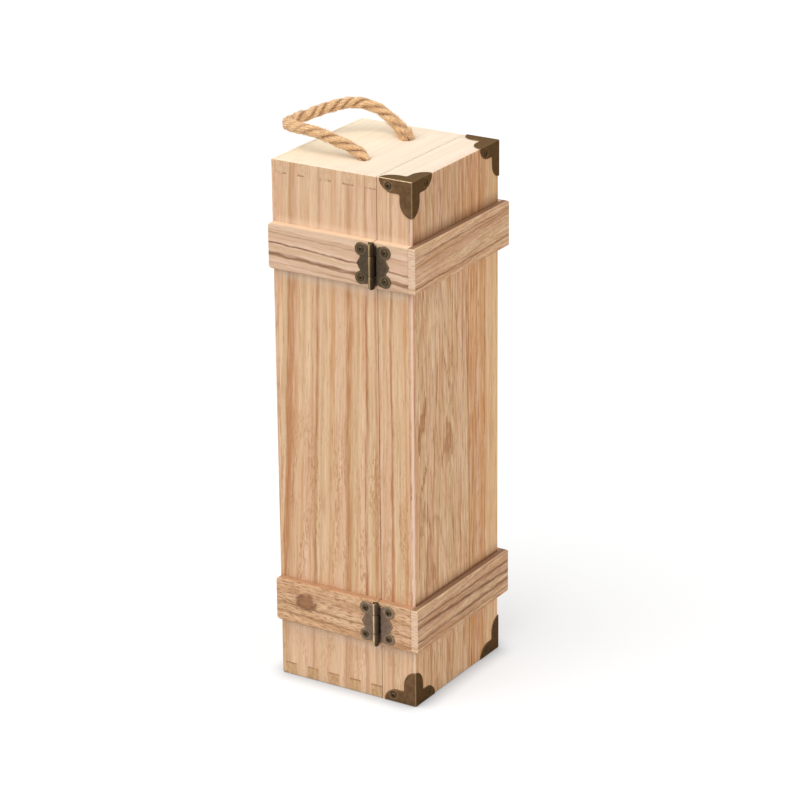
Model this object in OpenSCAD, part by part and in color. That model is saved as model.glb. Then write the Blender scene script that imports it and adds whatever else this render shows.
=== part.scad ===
// Upright wooden box for one bottle. One finger-jointed case is sawn into a deep tray and a
// shallow lid, which turns on two butterfly hinges. Proud slats run round the front and the
// sides, folded metal brackets cover the lid's corners, and a rope loop is the handle.
// Millimetres, +Z up. The origin is on the underside, in the middle of the closed case.
// The lid faces -Y and the hinges are on -X.

/* [Case] */
// Width of the case over its side boards
case_w = 104; // [94:1:140]
// Depth of the closed case over its front and back panels
case_d = 102; // [92:1:140]
// Height of the case
case_h = 350; // [320:1:420]
// Depth of the lid with its front panel
lid_d = 25; // [25:1:36]
// Thickness of the upright side boards
side_t = 8.5; // [7:0.5:12]
// Thickness of the top and bottom boards
end_t = 8.5; // [7:0.5:12]
// Thickness of the front and back panels
panel_t = 3; // [2:0.5:5]
// Gap between the closed lid and the tray
seam_gap = 0.4; // [0.2:0.1:0.6]
// Chamfer along the outer edges of the panels
edge_break = 0.6; // [0.2:0.1:1]
// Finger joint fields across the depth of the tray, an odd number
tray_fields = 9; // [5:2:13]
// Finger joint fields across the depth of the lid, an odd number
lid_fields = 3; // [3:2:5]

/* [Slats] */
// Thickness of a slat, how far it stands proud
slat_t = 5; // [4:0.5:7]
// Height of a slat
slat_h = 30; // [30:1:40]
// Distance from the end of the case to the near edge of a slat
slat_inset = 40; // [30:1:60]
// Chamfer along the outer edges of a slat
slat_break = 0.8; // [0.3:0.1:1.5]

/* [Hinges] */
// Outer radius of the hinge barrel
barrel_r = 2; // [1.8:0.1:2.4]
// Height of the hinge barrel
barrel_h = 29; // [27:0.5:30]
// Height of the middle knuckle
mid_knuckle_h = 13; // [9:0.5:15]
// Gap between neighbouring knuckles
knuckle_gap = 0.2; // [0.1:0.05:0.4]
// Radius of the hinge pin
hinge_pin_r = 1; // [0.8:0.1:1.2]
// Thickness of a leaf
leaf_t = 0.8; // [0.6:0.1:1]
// Height of the plain middle of a leaf
leaf_h = 25.6; // [24:0.2:26]
// Distance from the barrel axis to the plain outer edge of a leaf
leaf_reach = 8.5; // [7.5:0.1:9]
// Radius of the round lobes that hold the screws
lobe_r = 4.2; // [3.6:0.1:4.6]
// Distance from the barrel axis to the centre of a lobe
lobe_out = 8.6; // [8:0.1:9.4]
// Distance from the middle of a leaf to the centre of a lobe
lobe_up = 9.2; // [8.4:0.1:9.6]
// Distance from the barrel axis to the point between the lobes
point_reach = 11.4; // [10.5:0.1:12.5]

/* [Corner brackets] */
// Thickness of the bracket metal
bracket_t = 0.6; // [0.4:0.1:0.8]
// Length of an arm from the corner of the case
bracket_arm = 23; // [19:0.5:23.5]
// Width of an arm on one face
bracket_w = 8.5; // [7:0.5:10]
// Length of the rounded end of an arm
bracket_round = 10; // [6:0.5:11]
// Distance from the corner of the case to a screw along an arm
bracket_screw_at = 16.5; // [14:0.5:17]
// Distance from the edge of the case to a screw across an arm
bracket_screw_in = 4.4; // [3.6:0.1:4.8]
// Radius of the round hollow pressed in the metal round each screw
dish_r = 2.9; // [2.5:0.1:3]
// Depth of that hollow
dish_deep = 0.25; // [0.1:0.05:0.3]

/* [Latches] */
// Distance from the seam to the axis that a hasp swings on
hasp_axis_in = 2.4; // [2.2:0.1:3]
// Outer radius of the hasp knuckle
hasp_knuckle_r = 1.5; // [1.4:0.1:1.8]
// Radius of the hasp pin
hasp_pin_r = 0.7; // [0.6:0.05:0.8]
// Length of a hasp from its axis to its tip
hasp_reach = 18; // [16:0.5:20]
// Width of a hasp
hasp_w = 11; // [9:0.5:12]
// Thickness of the latch plates and the hasp
latch_t = 0.9; // [0.7:0.1:1.1]
// Distance from the hasp axis to the stud
stud_at = 11.5; // [10.5:0.1:12]
// Radius of the stud's neck
stud_r = 1.5; // [1.2:0.1:1.8]
// Radius of the stud's head
stud_head_r = 1.9; // [1.6:0.1:2.1]
// Clearance round the stud in the hasp's slot
stud_play = 0.4; // [0.3:0.1:0.6]
// How far the hasps stand open at rest, so that the lid is free to turn
hasp_ajar = 25; // [22:1:35]

/* [Screws] */
// Radius of a screw's shank
shank_r = 0.9; // [0.7:0.1:1.1]
// Radius of a screw's head
screw_head_r = 1.9; // [1.6:0.1:2.1]
// Height of a screw's head
screw_head_h = 0.6; // [0.4:0.1:0.7]
// Length of a screw in the wood under the part that it holds
screw_bite = 3; // [2:0.5:4]

/* [Rope] */
// Diameter of the rope
rope_d = 7.5; // [6:0.5:8]
// Clearance round the rope in its holes
rope_play = 0.2; // [0.1:0.05:0.4]
// Distance from the middle of the case to a rope hole
rope_hole_out = 25; // [25:0.5:26]
// Width of the knots under the top board
knot_d = 20; // [16:0.5:22]
// Height of the knots under the top board
knot_h = 16; // [12:0.5:20]
// Length of rope left under a knot
rope_tail = 8; // [4:0.5:12]

/* [Hidden] */

wood = "burlywood";
wood_warm = "tan";
bronze = "dimgray";
old_brass = "darkkhaki";
jute = "peru";

fine = 48;
cut = 1; // how far a cutting solid runs past the face that it cuts
half_w = case_w / 2;
half_d = case_d / 2;

// Y places along the depth
seam_y = -half_d + lid_d;
tray_front_y = seam_y + seam_gap / 2;
tray_back_y = half_d - panel_t;
lid_back_y = seam_y - seam_gap / 2;
lid_front_y = -half_d + panel_t;

// Heights of the slats' middles
upper_z = case_h - slat_inset - slat_h / 2;
lower_z = slat_inset + slat_h / 2;
slat_face_x = half_w + slat_t;

// Hinge
hinge_x = -slat_face_x - barrel_r;
pin_play = 0.05;
leaf_clear = 0.3; // from the barrel to the plate of either leaf
leaf_edge = barrel_r + leaf_clear;
point_half_h = 3.2;
nick_r = 1.2;
nick_out = (leaf_edge + lobe_out - lobe_r * 0.7) / 2;
pin_head_h = 0.6;
pin_head_r = barrel_r * 0.8;
hinge_screw_len = slat_t + screw_bite;

// Latch
latch_plate_w = 13;
latch_plate_len = 15;
latch_edge_in = 1; // from the seam to the keeper plate
hasp_x = slat_face_x + hasp_knuckle_r;
hasp_y = lid_back_y - hasp_axis_in;
hasp_knuckle_h = 5;
hasp_play = 0.15;
hasp_gap = 0.5; // from the keeper plate to the closed hasp
hasp_tip_r = 3.2;
keeper_front_y = tray_front_y + latch_edge_in;
keeper_back_y = hasp_y + hasp_reach + 2;
stud_neck_h = hasp_gap + latch_t + 0.6;
stud_head_h = 0.8;
latch_screw_side = 4.2; // from the middle of a latch plate to its screws
latch_screw_back = 9; // from the hasp axis to the screws of the lid plate
keeper_screw_back = 2; // from the keeper's back edge to its screws
latch_head_h = screw_head_h;

// Rope. The route's heights are above the top board.
rope_r = rope_d / 2;
rope_gap = 0.35; // between the loop's round ends and the rope ends in the holes
rope_axis_up = 3; // height of the axis that the loop swings on
rope_stub_up = rope_axis_up - rope_r - rope_gap;
knot_r = knot_d / 2;
rope_sides = 10;
rope_route = [
    [-25, 0, 3], [-26.5, 7, 6.3], [-28, 14.5, 9.3], [-29.5, 22, 11.9], [-30.5, 30, 14],
    [-31, 38, 15], [-30.5, 45.5, 15.2], [-27.5, 53, 14.7], [-21.5, 58, 14], [-14, 60, 13.6],
    [-6, 59, 13.7], [1.5, 56.5, 14.4], [8.5, 53, 15.7], [15, 48.2, 17.2], [20.6, 42.5, 18.5],
    [25, 35.8, 18.7], [27.5, 28.3, 17.5], [28.4, 20.7, 14.8], [28, 13.6, 11.1], [26.6, 6.8, 7],
    [25, 0, 3]
];

// ---------- outlines and small helpers ----------

// Box given by its lowest and highest corners
module block(lo, hi) {
    translate(lo) cube(hi - lo);
}

// Rectangle from [0, 0] to [w, h] with its two corners at y = h cut off
module cut_corner_rect(w, h, c) {
    polygon([[0, 0], [w, 0], [w, h - c], [w - c, h], [c, h], [0, h - c]]);
}

// Rectangle centred on the origin with all four corners cut off
module cut_rect(w, h, c) {
    a = w / 2;
    b = h / 2;
    polygon([[-a + c, -b], [a - c, -b], [a, -b + c], [a, b - c],
             [a - c, b], [-a + c, b], [-a, b - c], [-a, -b + c]]);
}

// Lays a local frame on a side face: local X runs along +Y, local Y along +Z, local Z outward.
// side is -1 for the hinge side and 1 for the latch side.
module on_side(side, x) {
    if (side > 0) translate([x, 0, 0]) rotate([90, 0, 90]) children();
    else mirror([1, 0, 0]) translate([x, 0, 0]) rotate([90, 0, 90]) children();
}

// Lays a local frame on the front face: local X along +X, local Y along +Z, local Z towards -Y
module on_front(y) {
    translate([0, y, 0]) rotate([90, 0, 0]) children();
}

// Screw along local Z: head outside from z = 0, shank into the wood, cross recess in the head
module screw(len) {
    recess_w = 0.5;
    recess_l = screw_head_r * 1.3;
    recess_deep = screw_head_h * 0.6;
    translate([0, 0, -len]) cylinder(h = len + screw_head_h / 2, r = shank_r, $fn = 24);
    difference() {
        rotate_extrude($fn = fine)
            polygon([[0, 0], [screw_head_r, 0], [screw_head_r, screw_head_h * 0.35],
                     [screw_head_r * 0.8, screw_head_h * 0.8], [screw_head_r * 0.4, screw_head_h],
                     [0, screw_head_h]]);
        translate([0, 0, screw_head_h]) {
            cube([recess_l, recess_w, 2 * recess_deep], center = true);
            cube([recess_w, recess_l, 2 * recess_deep], center = true);
        }
    }
}

// The hole that a screw of that length makes, open through what it holds
module screw_hole(len, through) {
    translate([0, 0, -len]) cylinder(h = len + through + cut, r = shank_r, $fn = 24);
}

// ---------- where the screws are ----------

// Hinge screws of one hinge, on the slat's face. out is -1 for the lid leaf, 1 for the tray leaf.
module at_hinge_screws(z, out) {
    for (up = [-1, 1])
        on_side(-1, slat_face_x)
            translate([seam_y + out * lobe_out, z + up * lobe_up, 0]) children();
}

// Lid screws of one latch
module at_latch_lid_screws(z) {
    for (up = [-1, 1])
        on_side(1, slat_face_x)
            translate([hasp_y - latch_screw_back, z + up * latch_screw_side, 0]) children();
}

// Tray screws of one latch
module at_latch_tray_screws(z) {
    for (up = [-1, 1])
        on_side(1, slat_face_x)
            translate([keeper_back_y - keeper_screw_back, z + up * latch_screw_side, 0]) children();
}

// Bracket screws on the side faces of the lid
module at_bracket_side_screws(side) {
    for (z = [bracket_screw_in, case_h - bracket_screw_in])
        on_side(side, half_w) translate([-half_d + bracket_screw_at, z, 0]) children();
}

// Bracket screws on the front of the lid
module at_bracket_front_screws() {
    for (z = [bracket_screw_in, case_h - bracket_screw_in])
        for (side = [-1, 1])
            on_front(-half_d) translate([side * (half_w - bracket_screw_at), z, 0]) children();
}

// Everything that the screws bore out of the wood
module all_screw_holes() {
    for (z = [lower_z, upper_z]) {
        at_hinge_screws(z, 1) screw_hole(hinge_screw_len, 0);
        at_hinge_screws(z, -1) screw_hole(hinge_screw_len, 0);
        at_latch_lid_screws(z) screw_hole(hinge_screw_len, 0);
        at_latch_tray_screws(z) screw_hole(hinge_screw_len, 0);
    }
    at_bracket_side_screws(-1) screw_hole(screw_bite, 0);
    at_bracket_side_screws(1) screw_hole(screw_bite, 0);
    at_bracket_front_screws() screw_hole(panel_t + screw_bite, 0);
}

// ---------- case ----------

// The finger fields that belong to the end boards, between two depths, on one side
module finger_cells(y0, y1, fields, first, side, z0, z1) {
    field = (y1 - y0) / fields;
    for (k = [first : 2 : fields - 1])
        block([side < 0 ? -half_w : half_w - side_t, y1 - (k + 1) * field, z0],
              [side < 0 ? -half_w + side_t : half_w, y1 - k * field, z1]);
}

// Top or bottom board of the tray or the lid, with its fingers
module end_board(y0, y1, fields, first, z0) {
    block([-half_w + side_t, y0, z0], [half_w - side_t, y1, z0 + end_t]);
    for (side = [-1, 1]) finger_cells(y0, y1, fields, first, side, z0, z0 + end_t);
}

// Upright board of the tray or the lid, cut away where the end boards' fingers pass
module side_board(y0, y1, fields, first, side) {
    difference() {
        block([side < 0 ? -half_w : half_w - side_t, y0, 0],
              [side < 0 ? -half_w + side_t : half_w, y1, case_h]);
        finger_cells(y0, y1, fields, first, side, -cut, end_t);
        finger_cells(y0, y1, fields, first, side, case_h - end_t, case_h + cut);
    }
}

module tray_side_board(side) {
    color(wood) difference() {
        side_board(tray_front_y, tray_back_y, tray_fields, 0, side);
        all_screw_holes();
    }
}

module tray_top_board() {
    color(wood) difference() {
        end_board(tray_front_y, tray_back_y, tray_fields, 0, case_h - end_t);
        for (side = [-1, 1])
            translate([side * rope_hole_out, 0, case_h - end_t - cut])
                cylinder(h = end_t + 2 * cut, r = rope_r + rope_play, $fn = fine);
    }
}

module tray_bottom_board() {
    color(wood) end_board(tray_front_y, tray_back_y, tray_fields, 0, 0);
}

// Thin outer panel with all its outer edges broken, outward along local Z
module panel_blank() {
    intersection() {
        linear_extrude(panel_t) cut_rect(case_w, case_h, edge_break);
        rotate([90, 0, 0]) linear_extrude(case_h + 2 * cut, center = true)
            translate([-half_w, 0]) cut_corner_rect(case_w, panel_t, edge_break);
        rotate([0, 90, 0]) linear_extrude(case_w + 2 * cut, center = true)
            rotate(90) translate([-case_h / 2, 0]) cut_corner_rect(case_h, panel_t, edge_break);
    }
}

module back_panel() {
    color(wood_warm) translate([0, tray_back_y, case_h / 2]) rotate([-90, 0, 0]) panel_blank();
}

module front_panel() {
    color(wood_warm) difference() {
        translate([0, lid_front_y, case_h / 2]) rotate([90, 0, 0]) panel_blank();
        all_screw_holes();
        bottom_bracket_recess();
    }
}

module lid_side_board(side) {
    color(wood) difference() {
        side_board(lid_front_y, lid_back_y, lid_fields, 1, side);
        all_screw_holes();
        bottom_bracket_recess();
    }
}

module lid_rail(z0) {
    color(wood) difference() {
        end_board(lid_front_y, lid_back_y, lid_fields, 1, z0);
        all_screw_holes();
        bottom_bracket_recess();
    }
}

// ---------- slats ----------

// Slat on a side face from one depth to another. free_end rounds the end at y1.
module side_slat(side, y0, y1, z, free_end) {
    color(wood_warm) difference() {
        intersection() {
            on_side(side, half_w) translate([y0, z, 0]) rotate([90, 0, 90])
                linear_extrude(y1 - y0) translate([-slat_h / 2, 0])
                    cut_corner_rect(slat_h, slat_t, slat_break);
            on_side(side, half_w) linear_extrude(slat_t)
                translate([y0, z]) free_end_outline(y1 - y0, free_end);
        }
        all_screw_holes();
    }
}

// Rectangle from x = 0, centred in y, with the corners at its far end cut off if it is free
module free_end_outline(len, free_end) {
    c = free_end ? 2 * slat_break : 0;
    a = slat_h / 2;
    polygon([[0, -a], [len - c, -a], [len, -a + c], [len, a - c], [len - c, a], [0, a]]);
}

// Slat across the front of the lid, over the ends of the short side slats
module front_slat(z) {
    color(wood_warm) translate([0, -half_d, z]) intersection() {
        rotate([90, 0, 0]) linear_extrude(slat_t) cut_rect(2 * slat_face_x, slat_h, slat_break);
        rotate([90, 0, 90]) linear_extrude(2 * slat_face_x, center = true)
            rotate(90) translate([-slat_h / 2, 0]) cut_corner_rect(slat_h, slat_t, slat_break);
    }
}

// ---------- hinges ----------

// Leaf outline: X away from the barrel axis, Y along it
module leaf_outline() {
    difference() {
        union() {
            translate([leaf_edge, -leaf_h / 2]) square([leaf_reach - leaf_edge, leaf_h]);
            for (up = [-1, 1]) translate([lobe_out, up * lobe_up]) circle(r = lobe_r, $fn = fine);
            polygon([[leaf_reach - cut, -point_half_h], [leaf_reach, -point_half_h],
                     [point_reach, 0], [leaf_reach, point_half_h],
                     [leaf_reach - cut, point_half_h]]);
        }
        for (up = [-1, 1])
            translate([nick_out, up * (leaf_h / 2 + nick_r * 0.4)]) circle(r = nick_r, $fn = 24);
    }
}

// One knuckle with the web that joins it to its leaf. Local frame as the leaf's, Z outward.
module knuckle(y0, y1) {
    translate([0, y1, barrel_r]) rotate([90, 0, 0]) cylinder(h = y1 - y0, r = barrel_r, $fn = fine);
    block([0, y0, 0], [leaf_edge + cut / 2, y1, leaf_t]);
}

// Heights of a leaf's knuckles from the middle: the tray leaf holds the outer two
function tray_knuckles() = [[-barrel_h / 2, -mid_knuckle_h / 2 - knuckle_gap],
                            [mid_knuckle_h / 2 + knuckle_gap, barrel_h / 2]];
function lid_knuckles() = [[-mid_knuckle_h / 2, mid_knuckle_h / 2]];

module hinge_leaf(z, out, knuckles) {
    color(bronze) on_side(-1, slat_face_x) translate([seam_y, z, 0])
        mirror([out < 0 ? 1 : 0, 0, 0]) difference() {
            union() {
                linear_extrude(leaf_t) leaf_outline();
                for (k = knuckles) knuckle(k[0], k[1]);
            }
            translate([0, barrel_h / 2 + cut, barrel_r]) rotate([90, 0, 0])
                cylinder(h = barrel_h + 2 * cut, r = hinge_pin_r + pin_play, $fn = fine);
            for (up = [-1, 1]) translate([lobe_out, up * lobe_up, 0]) {
                translate([0, 0, -cut])
                    cylinder(h = leaf_t + 2 * cut, r = shank_r + pin_play, $fn = 24);
                dish(leaf_t);
            }
        }
}

module hinge_pin(z) {
    color(old_brass) translate([hinge_x, seam_y, z]) {
        translate([0, 0, -barrel_h / 2]) cylinder(h = barrel_h, r = hinge_pin_r, $fn = fine);
        for (up = [0, 1]) mirror([0, 0, up]) translate([0, 0, barrel_h / 2])
            cylinder(h = pin_head_h, r1 = pin_head_r, r2 = pin_head_r * 0.6, $fn = fine);
    }
}

module hinge_screws(out) {
    color(bronze) for (z = [lower_z, upper_z])
        at_hinge_screws(z, out) translate([0, 0, leaf_t - dish_deep])
            screw(hinge_screw_len + leaf_t - dish_deep);
}

// ---------- corner brackets ----------

// One arm on one face: along +X from the corner, its far end a quarter of an ellipse
module arm_outline() {
    steps = 10;
    straight = bracket_arm - bracket_round;
    polygon(concat([[-bracket_t, -bracket_t], [bracket_arm, -bracket_t]],
        [for (k = [0 : steps]) [straight + bracket_round * cos(90 * k / steps),
                                bracket_w * sin(90 * k / steps)]],
        [[-bracket_t, bracket_w]]));
}

// One of the three flaps: two arms that meet at the corner
module flap_outline() {
    arm_outline();
    mirror([1, -1]) arm_outline();
}

module flap() {
    linear_extrude(bracket_t) flap_outline();
}

// The hollows in the lid's underside that the bottom flaps lie in
module bottom_bracket_recess() {
    for (side = [0, 1]) mirror([side, 0, 0]) translate([-half_w, -half_d, -cut])
        linear_extrude(cut + bracket_t) flap_outline();
}

// Bracket on a corner of the lid. top is true for the upper two.
module corner_bracket(side, top) {
    color(bronze) mirror([side > 0 ? 1 : 0, 0, 0]) difference() {
        union() {
            translate([-half_w, -half_d, top ? case_h : 0]) flap();
            translate([0, 0, top ? case_h : 0]) mirror([0, 0, top ? 1 : 0]) upright_flaps(top);
        }
        at_bracket_side_screws(-1) bracket_hole();
        at_bracket_front_screws() bracket_hole();
    }
}

// What a screw takes out of a bracket: its hole and the pressed hollow
module bracket_hole() {
    translate([0, 0, -cut]) cylinder(h = bracket_t + 2 * cut, r = shank_r + pin_play, $fn = 24);
    dish(bracket_t);
}

// Pressed hollow in metal of the given thickness
module dish(thickness) {
    translate([0, 0, thickness - dish_deep]) cylinder(h = cut, r = dish_r, $fn = fine);
}

// The flaps on the side and the front, rising from z = 0, or from -bracket_t on a top bracket
module upright_flaps(top) {
    intersection() {
        union() {
            translate([-half_w - bracket_t, -half_d, 0]) rotate([90, 0, 90]) flap();
            translate([-half_w, -half_d, 0]) rotate([90, 0, 0]) flap();
        }
        block([-half_w - bracket_t, -half_d - bracket_t, top ? -bracket_t : 0],
              [half_w, half_d, case_h / 2]);
    }
}

module bracket_screws() {
    color(bronze) {
        seat = bracket_t - dish_deep;
        for (side = [-1, 1]) at_bracket_side_screws(side)
            translate([0, 0, seat]) screw(screw_bite + seat);
        at_bracket_front_screws()
            translate([0, 0, seat]) screw(screw_bite + seat + panel_t);
    }
}

// ---------- latches ----------

// Plate on the lid with the two outer knuckles that carry the hasp
module latch_plate(z) {
    color(bronze) on_side(1, slat_face_x) translate([hasp_y, z, 0]) difference() {
        union() {
            linear_extrude(latch_t)
                translate([-latch_plate_len / 2 - hasp_knuckle_r - leaf_clear, 0])
                    cut_rect(latch_plate_len, latch_plate_w, 2);
            for (up = [-1, 1]) mirror([0, up < 0 ? 1 : 0, 0]) {
                y0 = hasp_knuckle_h / 2 + hasp_play;
                y1 = hasp_knuckle_h / 2 + 3;
                translate([0, y1, hasp_knuckle_r]) rotate([90, 0, 0])
                    cylinder(h = y1 - y0, r = hasp_knuckle_r, $fn = fine);
                block([-hasp_knuckle_r - leaf_clear - cut, y0, 0], [0, y1, latch_t]);
            }
        }
        translate([0, latch_plate_w, hasp_knuckle_r]) rotate([90, 0, 0])
            cylinder(h = 2 * latch_plate_w, r = hasp_pin_r + pin_play, $fn = fine);
        for (up = [-1, 1]) translate([-latch_screw_back, up * latch_screw_side, -cut])
            cylinder(h = latch_t + 2 * cut, r = shank_r + pin_play, $fn = 24);
    }
}

module latch_pin(z) {
    len = hasp_knuckle_h + 6;
    color(old_brass) translate([hasp_x, hasp_y, z - len / 2]) {
        cylinder(h = len, r = hasp_pin_r, $fn = fine);
        translate([0, 0, len]) cylinder(h = 0.4, r = hasp_knuckle_r * 0.8, $fn = fine);
        translate([0, 0, -0.4]) cylinder(h = 0.4, r = hasp_knuckle_r * 0.8, $fn = fine);
    }
}

// Hasp outline when closed: X from the axis to the tip
module hasp_outline() {
    from = hasp_knuckle_r + leaf_clear;
    difference() {
        union() {
            polygon([[from, -hasp_w / 2], [stud_at, -hasp_w / 2],
                     [hasp_reach - hasp_tip_r, -hasp_tip_r], [hasp_reach - hasp_tip_r, hasp_tip_r],
                     [stud_at, hasp_w / 2], [from, hasp_w / 2]]);
            translate([hasp_reach - hasp_tip_r, 0]) circle(r = hasp_tip_r, $fn = fine);
        }
        stud_slot();
    }
}

// Slot for the stud, long enough for the arc that the hasp swings on
module stud_slot() {
    r = stud_head_r + stud_play;
    half = 0.6;
    for (s = [-half, half]) translate([stud_at + s, 0]) circle(r = r, $fn = fine);
    translate([stud_at - half, -r]) square([2 * half, 2 * r]);
}

module latch_hasp(z) {
    low = latch_t + hasp_gap - hasp_knuckle_r; // underside of the closed hasp, from the axis
    color(bronze) translate([hasp_x, hasp_y, z]) rotate([0, 0, -hasp_ajar])
        rotate([90, 0, 90]) difference() {
            union() {
                translate([0, 0, low]) linear_extrude(latch_t) hasp_outline();
                translate([0, hasp_knuckle_h / 2, 0]) rotate([90, 0, 0])
                    cylinder(h = hasp_knuckle_h, r = hasp_knuckle_r, $fn = fine);
                block([0, -hasp_knuckle_h / 2, low],
                      [hasp_knuckle_r + leaf_clear + cut, hasp_knuckle_h / 2, low + latch_t]);
            }
            translate([0, hasp_w, 0]) rotate([90, 0, 0])
                cylinder(h = 2 * hasp_w, r = hasp_pin_r + pin_play, $fn = fine);
        }
}

// Plate on the tray with the stud that the hasp closes over
module latch_keeper(z) {
    len = keeper_back_y - keeper_front_y;
    color(bronze) on_side(1, slat_face_x) translate([0, z, 0]) {
        difference() {
            linear_extrude(latch_t) translate([keeper_front_y + len / 2, 0])
                cut_rect(len, latch_plate_w, 2);
            for (up = [-1, 1])
                translate([keeper_back_y - keeper_screw_back, up * latch_screw_side, -cut])
                    cylinder(h = latch_t + 2 * cut, r = shank_r + pin_play, $fn = 24);
        }
        translate([hasp_y + stud_at, 0, 0]) rotate_extrude($fn = fine)
            polygon([[0, 0], [stud_r, 0], [stud_r, latch_t + stud_neck_h],
                     [stud_head_r, latch_t + stud_neck_h + stud_head_h * 0.3],
                     [stud_head_r * 0.7, latch_t + stud_neck_h + stud_head_h],
                     [0, latch_t + stud_neck_h + stud_head_h]]);
    }
}

module latch_screws_lid() {
    color(bronze) for (z = [lower_z, upper_z])
        at_latch_lid_screws(z) translate([0, 0, latch_t]) screw(hinge_screw_len + latch_t);
}

module latch_screws_tray() {
    color(bronze) for (z = [lower_z, upper_z])
        at_latch_tray_screws(z) translate([0, 0, latch_t]) screw(hinge_screw_len + latch_t);
}

// ---------- rope ----------

// Rope in a hole, the knot that bears on the underside of the top board, and the cut tail
module rope_end(side) {
    color(jute) translate([side * rope_hole_out, 0, case_h]) {
        under = -end_t;
        translate([0, 0, under - knot_h - rope_tail])
            cylinder(h = end_t + knot_h + rope_tail + rope_stub_up, r = rope_r, $fn = fine);
        translate([0, 0, under]) mirror([0, 0, 1]) rotate_extrude($fn = fine)
            polygon([[0, 0], [knot_r * 0.7, 0], [knot_r * 0.93, knot_h * 0.2],
                     [knot_r, knot_h * 0.45], [knot_r * 0.93, knot_h * 0.7],
                     [knot_r * 0.7, knot_h * 0.9], [rope_r, knot_h], [0, knot_h]]);
    }
}

function unit(v) = v / norm(v);
function route_point(k) = [rope_route[k][0] * rope_hole_out / 25, rope_route[k][1],
                           rope_route[k][2] - rope_route[0][2] + rope_axis_up + case_h];
function route_last() = len(rope_route) - 1;
function tangent(k) = unit(route_point(min(k + 1, route_last())) - route_point(max(k - 1, 0)));

// Rings along the rope as [centre, tangent, radius], with round ends
cap_steps = 3;
rope_rings = concat(
    [for (k = [cap_steps : -1 : 1]) let (a = 80 * k / cap_steps)
        [route_point(0) - tangent(0) * rope_r * sin(a), tangent(0), rope_r * cos(a)]],
    [for (k = [0 : route_last()]) [route_point(k), tangent(k), rope_r]],
    [for (k = [1 : cap_steps]) let (a = 80 * k / cap_steps, e = route_last())
        [route_point(e) + tangent(e) * rope_r * sin(a), tangent(e), rope_r * cos(a)]]);

function ring_points(ring) =
    let (across = unit(cross([0, 0, 1], ring[1])), up = cross(ring[1], across))
    [for (s = [0 : rope_sides - 1]) let (a = 360 * s / rope_sides)
        ring[0] + ring[2] * (across * cos(a) + up * sin(a))];

module rope_handle() {
    count = len(rope_rings);
    points = concat([for (ring = rope_rings) each ring_points(ring)],
                    [rope_rings[0][0], rope_rings[count - 1][0]]);
    first = count * rope_sides;
    color(jute) polyhedron(points, concat(
        [for (k = [0 : count - 2], s = [0 : rope_sides - 1])
            let (a = k * rope_sides + s, b = k * rope_sides + (s + 1) % rope_sides)
            each [[a, a + rope_sides, b], [b, a + rope_sides, b + rope_sides]]],
        [for (s = [0 : rope_sides - 1]) [first, s, (s + 1) % rope_sides]],
        [for (s = [0 : rope_sides - 1]) let (e = (count - 1) * rope_sides)
            [first + 1, e + (s + 1) % rope_sides, e + s]]));
}

// ---------- the pieces ----------

tray_side_board(-1);  // tray_hinge_side_board
tray_side_board(1);  // tray_latch_side_board
tray_top_board();
tray_bottom_board();
back_panel();
side_slat(-1, tray_front_y, half_d, upper_z, true);  // tray_upper_slat_hinge_side
side_slat(1, tray_front_y, half_d, upper_z, true);  // tray_upper_slat_latch_side
side_slat(-1, tray_front_y, half_d, lower_z, true);  // tray_lower_slat_hinge_side
side_slat(1, tray_front_y, half_d, lower_z, true);  // tray_lower_slat_latch_side
hinge_leaf(upper_z, 1, tray_knuckles());  // upper_hinge_tray_leaf
hinge_leaf(lower_z, 1, tray_knuckles());  // lower_hinge_tray_leaf
hinge_pin(upper_z);  // upper_hinge_pin
hinge_pin(lower_z);  // lower_hinge_pin
hinge_screws(1);  // hinge_screws_tray
latch_keeper(upper_z);  // upper_latch_keeper
latch_keeper(lower_z);  // lower_latch_keeper
latch_screws_tray();
rope_end(-1);  // rope_end_hinge_side
rope_end(1);  // rope_end_latch_side
lid_side_board(-1);  // lid_hinge_side_board
lid_side_board(1);  // lid_latch_side_board
lid_rail(case_h - end_t);  // lid_top_rail
lid_rail(0);  // lid_bottom_rail
front_panel();
front_slat(upper_z);  // upper_front_slat
front_slat(lower_z);  // lower_front_slat
side_slat(-1, -half_d, lid_back_y, upper_z, false);  // lid_upper_slat_hinge_side
side_slat(1, -half_d, lid_back_y, upper_z, false);  // lid_upper_slat_latch_side
side_slat(-1, -half_d, lid_back_y, lower_z, false);  // lid_lower_slat_hinge_side
side_slat(1, -half_d, lid_back_y, lower_z, false);  // lid_lower_slat_latch_side
corner_bracket(-1, true);  // top_bracket_hinge_side
corner_bracket(1, true);  // top_bracket_latch_side
corner_bracket(-1, false);  // bottom_bracket_hinge_side
corner_bracket(1, false);  // bottom_bracket_latch_side
bracket_screws();
hinge_leaf(upper_z, -1, lid_knuckles());  // upper_hinge_lid_leaf
hinge_leaf(lower_z, -1, lid_knuckles());  // lower_hinge_lid_leaf
hinge_screws(-1);  // hinge_screws_lid
latch_plate(upper_z);  // upper_latch_plate
latch_plate(lower_z);  // lower_latch_plate
latch_pin(upper_z);  // upper_latch_pin
latch_pin(lower_z);  // lower_latch_pin
latch_screws_lid();
latch_hasp(upper_z);  // upper_latch_hasp
latch_hasp(lower_z);  // lower_latch_hasp
rope_handle();
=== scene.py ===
import math
import random

import bmesh
import bpy
import numpy as np
from mathutils import Matrix, Vector
from mathutils.geometry import delaunay_2d_cdt


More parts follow.
